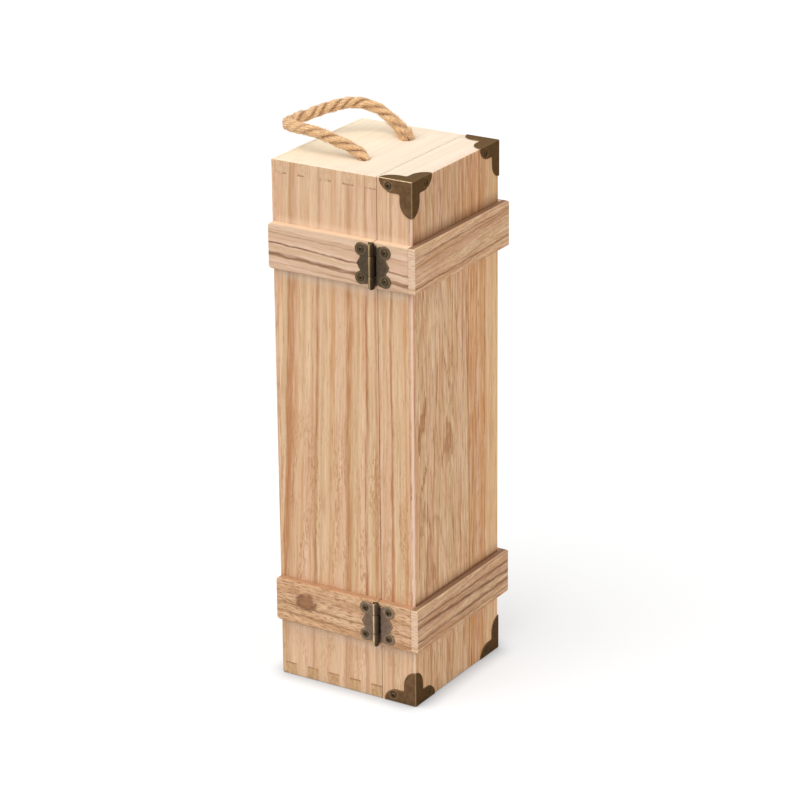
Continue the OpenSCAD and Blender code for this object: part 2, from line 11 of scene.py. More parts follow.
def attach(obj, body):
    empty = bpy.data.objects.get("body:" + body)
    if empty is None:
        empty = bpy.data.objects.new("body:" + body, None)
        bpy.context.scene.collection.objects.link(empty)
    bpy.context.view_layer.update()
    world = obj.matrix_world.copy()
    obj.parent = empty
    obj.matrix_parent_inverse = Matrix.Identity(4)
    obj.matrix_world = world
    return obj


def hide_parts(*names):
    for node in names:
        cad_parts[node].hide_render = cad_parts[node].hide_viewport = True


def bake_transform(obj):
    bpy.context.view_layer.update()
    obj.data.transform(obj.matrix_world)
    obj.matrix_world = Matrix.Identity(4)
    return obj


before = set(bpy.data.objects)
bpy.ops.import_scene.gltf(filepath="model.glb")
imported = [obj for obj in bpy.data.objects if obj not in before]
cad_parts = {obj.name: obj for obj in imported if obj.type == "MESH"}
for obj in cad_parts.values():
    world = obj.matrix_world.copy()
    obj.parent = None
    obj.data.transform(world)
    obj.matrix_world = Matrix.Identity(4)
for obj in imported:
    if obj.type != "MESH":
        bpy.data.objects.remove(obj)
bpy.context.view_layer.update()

MM = 0.001

# Sizes of the box in millimetres, as its model has them
CASE_W = 104
CASE_D = 102
CASE_H = 350
SEAM_Y = -26
SLAT_T = 5
SLAT_Z = {"upper": 295, "lower": 55}
SLAT_FACE_X = CASE_W / 2 + SLAT_T

BRACKET_T = 0.6
BRACKET_ARM = 23
BRACKET_W = 8.5
BRACKET_ROUND = 10
BRACKET_SCREW_AT = 16.5
BRACKET_SCREW_IN = 4.4

LEAF_T = 0.8
LEAF_EDGE = 1.75
LEAF_H = 25.6
LEAF_REACH = 9.2
LOBE_R = 4.2
LOBE_OUT = 8.6
LOBE_UP = 9.2
POINT_REACH = 11.6
POINT_HALF = 4.2
NICK_R = 1.2
BARREL_R = 2
BARREL_H = 29
MID_KNUCKLE = 13
KNUCKLE_GAP = 0.2

HEAD_R = 1.9
HEAD_H = 0.6

ROPE_D = 7.5
ROPE_LAY = 27
ROPE_TAIL_Z = 317.8
# The loop's route between its two ends. Heights are above the top board.
ROPE_ROUTE = [
    (-26.5, 7, 6.3), (-28, 14.5, 9.3), (-29.5, 22, 11.9), (-30.5, 30, 14), (-31, 38, 15),
    (-30.5, 45.5, 15.2), (-27.5, 53, 14.7), (-21.5, 58, 14), (-14, 60, 13.6), (-6, 59, 13.7),
    (1.5, 56.5, 14.4), (8.5, 53, 15.7), (15, 48.2, 17.2), (20.6, 42.5, 18.5), (25, 35.8, 18.7),
    (27.5, 28.3, 17.5), (28.4, 20.7, 14.8), (28, 13.6, 11.1), (26.6, 6.8, 7),
]


# ---------- camera and light ----------

CAMERA_AZIMUTH = -58.01
CAMERA_ELEVATION = 21.04
CAMERA_ROLL = -0.55
CAMERA_DISTANCE = 2.1132
CAMERA_SHIFT_RIGHT = 0.00753  # from the middle of the case to the middle of the picture
CAMERA_SHIFT_UP = 0.00745
CAMERA_LENS = 148.545

# Azimuth, elevation and spread in degrees, and level
LIGHTS = {"key": (-105, 53, 60, 0.72), "fill": (15, 14, 50, 0.32)}


def new_object(name, data):
    made = bpy.data.objects.new(name, data)
    bpy.context.scene.collection.objects.link(made)
    return made


def turned_axes(azimuth, elevation):
    """Right, up and towards-the-viewer directions of a view. Azimuth 0 looks along +Y."""
    a = math.radians(azimuth)
    e = math.radians(elevation)
    right = Vector((math.cos(a), math.sin(a), 0))
    towards = Vector((math.sin(a) * math.cos(e), -math.cos(a) * math.cos(e), math.sin(e)))
    return right, towards.cross(right), towards


def make_camera():
    data = bpy.data.cameras.new("camera")
    data.lens = CAMERA_LENS
    data.clip_start = 0.05
    data.clip_end = 50
    camera = new_object("camera", data)
    right, up, towards = turned_axes(CAMERA_AZIMUTH, CAMERA_ELEVATION)
    target = Vector((0, 0, CASE_H * MM / 2)) + right * CAMERA_SHIFT_RIGHT + up * CAMERA_SHIFT_UP
    turn = Matrix((right, up, towards)).transposed().to_4x4()
    roll = Matrix.Rotation(math.radians(CAMERA_ROLL), 4, "Z")
    camera.matrix_world = Matrix.Translation(target + towards * CAMERA_DISTANCE) @ turn @ roll
    bpy.context.scene.camera = camera


def far_light(name, azimuth, elevation, spread, level):
    """A wide soft light from far away. Level 1 shows a facing surface in its own colour."""
    data = bpy.data.lights.new(name, "SUN")
    data.angle = math.radians(spread)
    data.energy = level * math.pi
    axes = turned_axes(azimuth, elevation)
    new_object(name, data).matrix_world = Matrix(axes).transposed().to_4x4()


# ---------- shader values ----------

WHITE = (1, 1, 1, 1)


class Value:
    """What a shader node gives. Arithmetic with it adds the nodes that work it out."""

    def __init__(self, tree, node, output):
        self.tree = tree
        self.node = node
        self.output = output

    def sibling(self, output):
        """Another output of the same node."""
        return Value(self.tree, self.node, output)

    def __add__(self, other):
        return maths("ADD", self, other)

    def __sub__(self, other):
        return maths("SUBTRACT", self, other)

    def __mul__(self, other):
        return maths("MULTIPLY", self, other)

    def __truediv__(self, number):
        return self * (1 / number)

    def __abs__(self):
        return maths("ABSOLUTE", self)


def shader_node(tree, kind, inputs=(), output=0, **settings):
    """Adds a node and gives one of its outputs. Inputs are values, numbers or tuples of them."""
    made = tree.nodes.new(kind)
    for key, value in settings.items():
        setattr(made, key, value)
    for key, value in dict(inputs).items():
        if isinstance(value, Value):
            tree.links.new(value.node.outputs[value.output], made.inputs[key])
        else:
            made.inputs[key].default_value = value
    return Value(tree, made, output)


def maths(operation, *values, clamp=False):
    return shader_node(values[0].tree, "ShaderNodeMath", enumerate(values), operation=operation,
                       use_clamp=clamp)


def noise(x, y, z, detail=1, rough=0.5, scale=1):
    """Soft noise whose blotches are about a unit across at scale 1."""
    where = shader_node(x.tree, "ShaderNodeCombineXYZ", {0: x, 1: y, 2: z})
    inputs = {"Vector": where, "Scale": scale, "Detail": detail, "Roughness": rough}
    return shader_node(x.tree, "ShaderNodeTexNoise", inputs)


def step(value, low, high):
    """0 at low, 1 at high and smooth between. High may be less than low."""
    inputs = {0: value, 1: low, 2: high, 3: 0, 4: 1}
    return shader_node(value.tree, "ShaderNodeMapRange", inputs, interpolation_type="SMOOTHSTEP")


def ramp(factor, stops):
    """Goes straight from stop to stop, each (place, value), their places from 0 to 1."""
    made = shader_node(factor.tree, "ShaderNodeValToRGB", {0: factor})
    elements = made.node.color_ramp.elements
    while len(elements) > 1:
        elements.remove(elements[0])
    for index, (place, value) in enumerate(stops):
        element = elements.new(place) if index else elements[0]
        element.position = place
        element.color = (value, value, value, 1)
    return made


def shader_colour(colour):
    """A colour written as it shows on screen, 0 to 255, in the linear values that shaders use."""
    if isinstance(colour, Value):
        return colour
    parts = [part / 255 for part in colour]
    return (*(p / 12.92 if p <= 0.04045 else ((p + 0.055) / 1.055) ** 2.4 for p in parts), 1)


def mix(factor, a, b):
    """Colour a where the factor is 0 and colour b where it is 1."""
    inputs = {0: factor, 6: shader_colour(a), 7: shader_colour(b)}
    return shader_node(factor.tree, "ShaderNodeMix", inputs, 2, data_type="RGBA", clamp_factor=True)


def bump(height, distance, strength):
    """Distance is in millimetres for a height that runs from 0 to 1."""
    inputs = {"Height": height, "Distance": distance * MM, "Strength": strength}
    return shader_node(height.tree, "ShaderNodeBump", inputs)


def emptied_tree(owner):
    """The node tree of a new material or world, with nothing in it."""
    owner.use_nodes = True
    owner.node_tree.nodes.clear()
    return owner.node_tree


def start_material(name):
    """A new material, and X, Y and Z of its surface in the object's own frame in millimetres."""
    material = bpy.data.materials.new(name)
    tree = emptied_tree(material)
    here = shader_node(tree, "ShaderNodeTexCoord", output="Object")
    here = shader_node(tree, "ShaderNodeVectorMath", {0: here, "Scale": 1 / MM}, operation="SCALE")
    x = shader_node(tree, "ShaderNodeSeparateXYZ", {0: here})
    return material, x, x.sibling(1), x.sibling(2)


def attribute(material, name):
    return shader_node(material.node_tree, "ShaderNodeAttribute", output="Fac", attribute_name=name)


def surface(material, inputs):
    shader = shader_node(material.node_tree, "ShaderNodeBsdfPrincipled", inputs)
    shader_node(material.node_tree, "ShaderNodeOutputMaterial", {0: shader})
    return material


# ---------- floor and world ----------

AMBIENT = 0.5
FLOOR_HALF = 6
FLOOR_GREY = 0.62
FLOOR_SEEN = 0.45  # the floor's grey in the picture
FLOOR_GLOW = 0.55  # and what it adds to its lit colour there, so that it shows white
CONTACT_REACH = 0.014
CONTACT_POWER = 0.7


def seen_directly(tree):
    """1 for camera, glossy and transmission rays, which see the white surroundings."""
    camera = shader_node(tree, "ShaderNodeLightPath", output="Is Camera Ray")
    glossy = camera.sibling("Is Glossy Ray")
    transmission = camera.sibling("Is Transmission Ray")
    return maths("MAXIMUM", maths("MAXIMUM", camera, glossy), transmission)


def make_world():
    world = bpy.data.worlds.new("studio")
    bpy.context.scene.world = world
    tree = emptied_tree(world)
    strength = seen_directly(tree) * (1 - AMBIENT) + AMBIENT
    background = shader_node(tree, "ShaderNodeBackground", {0: WHITE, 1: strength})
    shader_node(tree, "ShaderNodeOutputWorld", {0: background})


def make_floor():
    mesh = bpy.data.meshes.new("floor")
    far = FLOOR_HALF
    corners = [(-far, -far, 0), (far, -far, 0), (far, far, 0), (-far, far, 0)]
    mesh.from_pydata(corners, [], [(0, 1, 2, 3)])
    material = bpy.data.materials.new("floor")
    tree = emptied_tree(material)
    seen = seen_directly(tree)
    contact = shader_node(tree, "ShaderNodeAmbientOcclusion", {"Distance": CONTACT_REACH}, "AO")
    contact = maths("POWER", contact, CONTACT_POWER)
    grey = (seen * (FLOOR_SEEN - FLOOR_GREY) + FLOOR_GREY) * contact
    diffuse = shader_node(tree, "ShaderNodeBsdfDiffuse", {0: grey})
    glow = shader_node(tree, "ShaderNodeEmission", {0: WHITE, 1: seen * FLOOR_GLOW * contact})
    both = shader_node(tree, "ShaderNodeAddShader", {0: diffuse, 1: glow})
    shader_node(tree, "ShaderNodeOutputMaterial", {0: both})
    mesh.materials.append(material)
    new_object("floor", mesh)


# ---------- wood ----------

CREAM = (246, 231, 211)
PALE = (234, 204, 172)
PINKISH = (220, 178, 150)
OLIVE = (206, 176, 134)
ORANGE = (196, 132, 80)
BROWN = (178, 120, 74)
PORE = (150, 100, 62)
FLAME = (164, 106, 62)
RED_BROWN = (164, 104, 58)
DARK_LINE = (128, 86, 56)


def ring_field(along, across, deep, pith, slope, warp, bumps):
    """Distance from the pith, which the growth rings follow. Bumps close rings into islands:
    each is (along, across, half length, half width, height)."""
    wobble = (noise(along / 60, across / 16, deep / 16, 2) - 0.5) * (2 * warp)
    side = across - pith[0]
    depth = deep - pith[1]
    field = maths("SQRT", side * side + depth * depth) + along * slope + wobble
    for at_along, at_across, half_long, half_wide, height in bumps:
        u = (along - at_along) / half_long
        v = (across - at_across) / half_wide
        field = field + maths("EXPONENT", (u * u + v * v) * -1) * height
    return field


def ring_lines(field, spacing):
    """How dark a growth ring's late wood is, 0 to 1, with uneven spacing and strength."""
    turns = field / spacing + noise(field * 0.11, 0, 0) * 2.2
    late = ramp(maths("FRACT", turns), [(0, 0), (0.4, 0.1), (0.72, 0.6), (0.88, 1), (1, 0)])
    each = shader_node(field.tree, "ShaderNodeTexWhiteNoise", {"W": maths("FLOOR", turns)},
                       noise_dimensions="1D")
    return late * (each * 0.8 + 0.2)


def strokes(along, across, deep, length, width, low, high):
    """Marks that follow the grain, 0 to 1. Their noise lies between low and high."""
    marks = noise(along / length + 2.3 * length, across / width + 7.1 * width, deep / width, 2, 0.55)
    return step(marks, low, high)


def wavy(along, across, reach):
    """The across coordinate with the waves that grain has along its length."""
    slow = noise(along / 70, across / 30, 0) - 0.5
    quick = noise(along / 9, across / 4, 7) - 0.5
    return across + slow * (3 * reach) + quick * reach


def grain(along, across, deep, light, mid, line, pith=(-200, 60), slope=0, spacing=4, warp=2,
          ring=0.5, bumps=(), marks=1, wave=1, warm=ORANGE):
    """The colour of plain timber and a height for its bump."""
    across = wavy(along, across, wave)
    colour = mix(strokes(along, across, deep, 150, 7, 0.36, 0.64), light, mid)
    tint = noise(along / 260, across / 7, 11)
    colour = mix(step(tint, 0.52, 0.6) * 0.5, colour, PINKISH)
    colour = mix(step(tint, 0.46, 0.4) * 0.45, colour, OLIVE)
    streaks = strokes(along, across, deep, 120, 3.4, 0.5, 0.66)
    colour = mix(streaks * (0.55 * marks), colour, warm)
    streaks = strokes(along, across, deep, 38, 1.5, 0.52, 0.66)
    colour = mix(streaks * (0.55 * marks), colour, PALE)
    broken = strokes(along, across, deep, 30, 2.6, 0.3, 0.62)
    lines = ring_lines(ring_field(along, across, deep, pith, slope, warp, bumps), spacing)
    colour = mix(lines * (broken * (0.7 * ring) + 0.3 * ring), colour, line)
    brown = strokes(along, across, deep, 24, 1.15, 0.54, 0.68)
    colour = mix(brown * (0.5 * marks), colour, line)
    pores = strokes(along, across, deep, 8, 0.8, 0.6, 0.72)
    colour = mix(pores * (0.55 * marks), colour, PORE)
    return colour, broken * 0.3 - pores * 0.6 - brown * 0.4


def stripe_bands(along, across, reach, stripes, colour):
    """Lays given dark stripes along the grain, their places from the middle of the case. A stripe is
    (middle, width, strength, colour)."""
    moved = wavy(along, across, reach) / CASE_W + 0.5
    patchy = strokes(along, across, 0, 26, 1.3, 0.3, 0.62)
    for tone in sorted({stripe[3] for stripe in stripes}):
        stops = [(0, 0)]
        for middle, width, strength, _ in sorted(s for s in stripes if s[3] == tone):
            for offset, share in ((-0.9, 0), (-0.25, 0.75), (0.1, 1), (0.5, 0)):
                stops.append(((middle + offset * width) / CASE_W + 0.5, strength * share))
        colour = mix(ramp(moved, stops) * (patchy * 0.6 + 0.4), colour, tone)
    return colour


def thin_line(along, up, start, slope, width, strength, colour):
    """One dark line that runs nearly with the grain, at height start where along is 0."""
    off = abs(up - along * slope - start)
    patchy = strokes(along, up, 0, 16, 1.6, 0.3, 0.6)
    soft = step(off, width, width * 0.3) * (patchy * 0.5 + 0.5)
    return mix(soft * strength, colour, DARK_LINE)


def on_top(z):
    return step(z, CASE_H - 0.35, CASE_H - 0.1)


def wood_surface(material, colour, height, y, z, top_paling=0.75):
    """Finishes a wood. The top of the case is paler, partly its boards' tone and partly painted light, and
    lighter and yellower towards its back, painted light against the rope's shadow there. The bump follows
    the grain."""
    # Painted light, in part: the top's paler colour, lifted further towards the back under the rope's
    # shadow
    pale = mix(step(y, -20, 40), CREAM, (255, 244, 217))
    colour = mix(on_top(z) * top_paling, colour, pale)
    return surface(material, {"Base Color": colour, "Roughness": height * 0.08 + 0.6,
                              "Normal": bump(height, 0.12, 0.5), "Specular IOR Level": 0.2})


TAPERING = [(0, 0), (0.12, 0.7), (0.35, 1), (0.75, 0.6), (1, 0)]
WIDENING = [(0, 0), (0.3, 0.35), (0.85, 1), (0.97, 0.9), (1, 0)]
# The pointed dark marks of the flat-sawn front, by their shape: start and end along the grain, the
# places across it at both, half width and strength
FRONT_FLAMES = (
    (TAPERING, [
        (208, 163, -37, -48.5, 3.6, 0.95), (167, 133, -33.5, -48, 2.6, 1),
        (163, 138, -33, -29, 1.3, 0.5), (133, 106, -39, -46, 3, 0.8), (133, 104, -37, -29, 3, 0.75),
        (228, 204, -15, -7, 2.4, 0.75), (212, 170, -9, -1, 1.8, 0.65), (231, 219, -8.5, -3, 1.6, 0.55),
        (272, 220, -3, 4, 1.2, 0.6), (158, 108, 1, 4.5, 1.2, 0.6), (150, 92, 6, 8, 0.9, 0.5),
        (130, 84, -5.5, -1.5, 1.8, 0.65), (279, 261, -39, -40.5, 2, 0.7), (274, 260, -25, -24, 1.5, 0.5),
        (252, 224, -47, -45, 1.8, 0.55), (244, 220, -34.5, -32, 1.3, 0.6), (247, 222, -27, -25, 1.3, 0.55),
        (345, 318, -30, -26, 1.8, 0.5), (340, 314, -12, -9, 1.5, 0.5), (346, 316, 2, 4, 1.3, 0.5),
        (36, 8, -30, -34, 1.8, 0.5), (34, 4, -10, -7, 1.5, 0.5)]),
    (WIDENING, [(118, 76, -33, -32, 8, 0.55), (188, 158, -10.5, -12, 8.5, 0.8)]),
)
FLAME_JAG = 14  # how far apart the threads of a ragged end stop


def flames(along, across, colour):
    """Lays the front's pointed marks over a colour."""
    moved = wavy(along, across, 1.8)
    streaky = strokes(along, across, 4, 7, 0.9, 0.3, 0.6) * 0.65 + 0.35
    jagged = along + strokes(along, across, 6, 16, 1.6, 0.25, 0.75) * FLAME_JAG
    marks = [(shape, *mark) for shape, shaped in FRONT_FLAMES for mark in shaped]
    for shape, start, end, at_start, at_end, half, strength in marks:
        run = 1 / (start - end)
        share = maths("MULTIPLY_ADD", jagged, -run, (start + FLAME_JAG / 2) * run, clamp=True)
        off = abs(moved - (share * (at_end - at_start) + at_start))
        reach = ramp(share, shape) * half - off
        colour = mix(step(reach, 0, 1.2) * streaky * strength, colour, FLAME)
    return colour


def ledge_light_and_shade(z, outside, colour, tone, bands):
    """Paints light or shade in a tone on a board's outside just above or below its slats. A band is
    (start, end, strength), strongest at its start."""
    for start, end, strength in bands:
        far = (z - start) * math.copysign(1, end - start)
        amount = step(far, abs(end - start), 0) * step(far, -0.5, 0) * outside
        colour = mix(amount * strength, colour, tone)
    return colour


SIDE_LEAN = 0.00048  # how much more the grain slants with each millimetre towards the back
SIDE_STRIPES = [
    (41.6, 6.4, 1, BROWN), (43.6, 1.6, 0.7, RED_BROWN), (21, 2.4, 0.8, RED_BROWN),
    (10.2, 3.4, 0.55, ORANGE), (-2.8, 4.6, 0.95, BROWN), (-16.2, 2.4, 0.95, RED_BROWN),
    (-23.5, 3, 0.7, BROWN), (-35, 1.9, 0.95, RED_BROWN), (-45.5, 2.2, 0.6, ORANGE),
    (31.5, 1.4, 0.35, ORANGE), (-9.5, 1.6, 0.4, ORANGE), (-29, 1.2, 0.35, RED_BROWN),
]


def side_wood(name, shift=0):
    """Upright side boards: grain along Z that leans more towards the back, with a few strong stripes,
    paler above and below the slats, and painted light in bands just under both slats and over the upper
    one."""
    material, x, y, z = start_material(name)
    moved = y + shift
    moved = moved + (moved + 45) * (z - CASE_H / 2) * SIDE_LEAN
    colour, height = grain(z, moved, x, (226, 191, 155), (216, 178, 140), (180, 130, 88),
                           pith=(-260, 90), spacing=5.5, warp=3, ring=0.4, marks=0.8, wave=0.8)
    colour = stripe_bands(z, moved, 1, SIDE_STRIPES, colour)
    zone = step(noise(z / 70, moved / 9, 5), 0.44, 0.58) * step(z, 215, 150)
    pores = zone * strokes(z, moved, x, 4, 0.75, 0.5, 0.62)
    colour = mix(pores * 0.55, colour, (170, 116, 66))
    outside = step(abs(x), 51, 51.4)
    ends = maths("MAXIMUM", step(z, 308, 312), step(z, 42, 38))
    colour = mix(ends * outside * 0.26, colour, (228, 196, 166))
    # Painted light: pale bands just under both slats and just over the upper one
    colour = ledge_light_and_shade(z, outside, colour, CREAM,
                        [(280, 270, 0.4), (40, 30, 0.25), (310, 316, 0.3)])
    return wood_surface(material, colour, height, y, z)


JOINT_X = 15  # where the front panel's two boards meet just above the lower slat
JOINT_BEND = 0.00012


def front_wood():
    """The front panel: flat-sawn on the left, a straight-grained strip on the right."""
    material, x, y, z = start_material("front_wood")
    flat, flat_height = grain(z, x, y, (222, 184, 144), (210, 166, 122), (158, 104, 62),
                              pith=(-27, -84), slope=0.085, spacing=2.3, warp=2.6, ring=0.45,
                              marks=1.25, wave=1.1, warm=(188, 124, 72))
    flat = flames(z, x, flat)
    straight, straight_height = grain(z, x, y, (228, 184, 136), (208, 154, 100), (160, 94, 48),
                                      pith=(-300, 40), spacing=1.9, warp=1.6, ring=0.9, marks=1.4,
                                      wave=0.7, warm=(192, 120, 62))
    above_slat = z - 70
    past_joint = x + above_slat * above_slat * JOINT_BEND - JOINT_X
    joint = step(past_joint, -0.1, 0.1)
    colour = mix(joint, flat, straight)
    groove = step(past_joint, -0.5, 0) * step(past_joint, 2.2, 0.2)
    groove = groove * strokes(z, x, 9, 60, 3, 0.25, 0.6)
    colour = mix(groove * 0.7, colour, (166, 102, 62))
    stripes = [(31, 4.5, 0.6, ORANGE), (22, 5, 0.45, ORANGE), (-49, 2.5, 0.4, ORANGE)]
    colour = stripe_bands(z, x, 1.6, stripes, colour)
    colour = mix(step(x, 34, 38) * 0.45, colour, (232, 196, 150))
    colour = mix(step(z, 300, 320) * 0.22, colour, (150, 104, 64))
    # Painted shade: dark bands on the panel just above both slats
    colour = ledge_light_and_shade(z, step(y, -50, -50.4), colour, (112, 70, 38),
                        [(310, 319, 0.6), (310, 312, 0.4), (70, 72.6, 0.85), (70, 79, 0.35)])
    # The front panel's edge on the side of the case, paler: partly its own edge and partly a painted
    # highlight along the corner
    corner = step(abs(x), 51.1, 51.5) * step(y, -49.3, -50)
    colour = mix(corner * 0.75, colour, (238, 206, 186))
    return wood_surface(material, colour, mix(joint, flat_height, straight_height), y, z)


def back_wood():
    material, x, y, z = start_material("back_wood")
    colour, height = grain(z, x, y, (230, 196, 156), (216, 176, 132), (172, 116, 70),
                           pith=(14, 130), slope=-0.06, spacing=3, warp=3, ring=0.75, wave=1.4)
    return wood_surface(material, colour, height, y, z)


def end_wood():
    """Top and bottom boards and rails: grain along X, with end grain on the side faces, dark gaps by the
    fingers, and painted shade along the seam on top."""
    material, x, y, z = start_material("end_wood")
    colour, height = grain(x, y, z, (238, 218, 192), (232, 206, 174), (218, 182, 142),
                           pith=(30, 300), spacing=9, warp=6, marks=0.35, warm=(226, 188, 146))
    dots = strokes(z, y, x, 3, 1.2, 0.35, 0.65)
    upper = mix(dots, (220, 184, 148), (206, 168, 134))
    lower = mix(dots, (208, 170, 128), (184, 146, 106))
    end_colour = mix(step(z, 100, 200), lower, upper)
    gap = step(abs(z - CASE_H / 2), CASE_H / 2 - 6.9, CASE_H / 2 - 8.4)
    gap = gap * strokes(z, y, 0, 30, 5, 0.36, 0.48)
    end_colour = mix(gap * 0.7, end_colour, (140, 100, 66))
    colour = mix(step(abs(x), CASE_W / 2 - 0.5, CASE_W / 2 - 0.15), colour, end_colour)
    # Painted shade along the seam between the lid and the tray on top
    seam = step(abs(y - SEAM_Y), 0.7, 0.1) * on_top(z) * strokes(x, z, 0, 9, 30, 0.3, 0.55)
    colour = mix(seam, colour, (132, 84, 50))
    return wood_surface(material, colour, height, y, z, 0.65)


# A painted highlight for the top of the slats' ledges
LEDGE_HIGHLIGHT = (240, 210, 176)
BROWN_LEDGE = (178, 132, 100)
# Each kind of slat: its light, middle, line and ledge colours, the ledge's a painted highlight on all but
# the lower side slats, the strength of its rings, marks and ripples, its pith, its lines (start, slope,
# width, strength) and its knots (along, up, radius)
SLATS = {
    "upper_side": ((228, 197, 170), (217, 182, 152), (166, 118, 84), LEDGE_HIGHLIGHT, 0.3, 0.45, 0.1,
                   (-70, 120), [(0, 0.06, 0.9, 0.9), (-7, 0.05, 2, 0.85), (7.5, 0.03, 0.6, 0.4),
                                (-12, 0.04, 0.5, 0.4)], []),
    "lower_side": ((224, 184, 144), (210, 166, 124), (136, 88, 54), BROWN_LEDGE, 0.4, 0.7, 0.7,
                   (-70, 120), [(-3, 0.03, 0.9, 0.6), (-9.5, 0.04, 1.4, 0.5)], [(28.4, 1.6, 7.8)]),
    "upper_front": ((216, 176, 136), (200, 154, 112), (144, 94, 58), LEDGE_HIGHLIGHT, 0.5, 0.9, 0.3,
                    (-60, 90), [(9.5, 0.02, 0.8, 0.7), (6, 0.06, 0.7, 0.6), (-9, 0.03, 0.9, 0.8)],
                    []),
    "lower_front": ((212, 172, 134), (192, 146, 106), (134, 86, 52), LEDGE_HIGHLIGHT, 0.6, 0.85, 0.35,
                    (-60, 90), [(2, -0.02, 1.7, 1), (7.5, 0, 1, 0.8), (-6, 0.02, 1.4, 0.9),
                                (-11, 0, 0.8, 0.6)], []),
}


def slat_wood(level, face):
    """Slats: grain along Y on the sides of the case and along X on its front."""
    kind = f"{level}_{face}"
    light, mid, line, ledge, ring, marks, ripple, pith, lines, knots = SLATS[kind]
    material, x, y, z = start_material(kind + "_slat")
    along, deep = (y - step(x, -1, 1) * 74, x) if face == "side" else (x, y)
    up = z - SLAT_Z[level]
    bent = up + (noise(along / 45, up / 30, 0, 2) - 0.5) * 6 - along * 0.05
    bumps = [(at, at_up, radius * 2.6, radius * 1.5, radius * 0.8) for at, at_up, radius in knots]
    colour, height = grain(along, bent, deep, light, mid, line, pith=pith, spacing=3.4, warp=1.8,
                           ring=ring, bumps=bumps, marks=marks, wave=0.7, warm=(196, 146, 106))
    colour = mix(strokes(along, bent, deep, 5, 0.75, 0.48, 0.66) * ripple, colour, line)
    waved = up + (noise(along / 11, up / 6, 2, 2) - 0.5) * 2.4
    for start, slope, width, strength in lines:
        colour = thin_line(along, waved, start, slope, width, strength, colour)
    for at_along, at_up, radius in knots:
        u = along - at_along
        v = (waved - at_up) * 1.35
        far = maths("SQRT", u * u + v * v)
        rim = step(far, radius * 1.25, radius * 0.9) * step(far, radius * 0.4, radius * 0.85)
        rim = rim * strokes(along, waved, 3, 4, 2, 0.3, 0.6)
        colour = mix(step(far, radius * 1.15, radius * 0.5) * 0.8, colour, (140, 92, 60))
        colour = mix(rim * 0.65, colour, (98, 60, 38))
    # The ledge's top: a painted highlight on all but the lower side slats
    top = step(up, 14.6, 14.85)
    colour = mix(top * 0.7, colour, ledge)
    if face == "front":
        # Painted shade on the ledge's top next to the front panel
        colour = mix(top * step(y, -55.7, -54.4) * 0.8, colour, (118, 76, 44))
        end_colour = mix(strokes(y, bent, 0, 7, 1.4, 0.45, 0.65), (230, 200, 172), (208, 168, 134))
        colour = mix(step(abs(x), 56.5, 56.8) * 0.85, colour, end_colour)
    return wood_surface(material, colour, height, y, z)


# ---------- metal and jute ----------

def bronze(name, dark, warm, worn_and_painted_light, shine, painted_shade_colour=(52, 37, 24)):
    """Aged bronze: mottled, with brighter metal where it is scuffed and where a highlight is painted, and
    painted shade in its corners. A point's mark is 1 where it is brightest and -1 where the painted shade
    is darkest."""
    material, x, y, z = start_material(name)
    cloud = noise(x, y, z, 4, 0.6, 0.35)
    speck = noise(x, y, z, 2, 0.6, 2.6)
    colour = mix(step(cloud, 0.35, 0.65), dark, warm)
    colour = mix(step(speck, 0.62, 0.8) * 0.35, colour, (44, 32, 20))
    wear_and_painted_light = attribute(material, "wear_and_painted_light")
    # Negative marks are painted shade; positive ones are scuffing and painted highlights
    painted_shade = maths("MULTIPLY", wear_and_painted_light, -1, clamp=True)
    colour = mix(painted_shade, colour, painted_shade_colour)
    rubbed_and_highlight = maths("ADD", wear_and_painted_light, 0, clamp=True) * (cloud * 0.9 + 0.45)
    colour = mix(rubbed_and_highlight, colour, worn_and_painted_light)
    # Painted shade: the flaps that face the front are darker
    front = step(y, -51.3, -51.45)
    colour = mix(front * 0.65, colour, (62, 44, 18))
    above = step(z, CASE_H + 0.2, CASE_H + 0.45)
    colour = mix(above * 0.6, colour, (112, 92, 68))
    rough = cloud * 0.16 + (shine - 0.08) - rubbed_and_highlight * 0.1 + painted_shade * 0.3
    return surface(material, {"Base Color": colour, "Metallic": 0.8, "Roughness": rough,
                              "Normal": bump(speck + cloud * 0.6, 0.03, 0.5),
                              "Specular Tint": (0.5, 0.38, 0.25, 1)})


# Marks for the rope's colour: how deep in a groove, how far down between yarns, and tone; the first two
# give painted shade
ROPE_MARKS = ("groove", "yarn_gap_shade", "tone")


def jute():
    material, x, y, z = start_material("jute")
    groove, yarn_gap_shade, tone = [attribute(material, mark) for mark in ROPE_MARKS]
    cloud = noise(x, y, z, 3, 0.6, 0.22)
    speck = noise(x, y, z, 3, 0.65, 1.6)
    colour = mix(step(speck, 0.3, 0.7), (250, 200, 142), (255, 240, 196))
    colour = mix(tone * 0.6, colour, (210, 130, 64))
    colour = mix(step(cloud, 0.5, 0.7) * 0.25, colour, (200, 166, 104))
    # Painted shade: darker between the yarns, and darkest in the grooves between the strands
    colour = mix(yarn_gap_shade * 0.75, colour, (150, 84, 38))
    colour = mix(groove, colour, (112, 54, 16))
    return surface(material, {"Base Color": colour, "Roughness": 0.85,
                              "Normal": bump(speck, 0.25, 0.8), "Sheen Weight": 0.25,
                              "Sheen Roughness": 0.5})


# ---------- pieces that stand for CAD nodes ----------

WELD = 0.002 * MM  # points that lie closer than this are one

# By slot, in millimetres: how far the corners of the case are eased, how far the other edges are,
# and the shortest edge that is eased
EASED = {"boards": (0.5, 0.12, 0.3), "panels": (0.5, 0.3, 0.3), "slats": (0.4, 0.35, 0.3),
         "fittings": (0.15, 0.15, 0.25)}


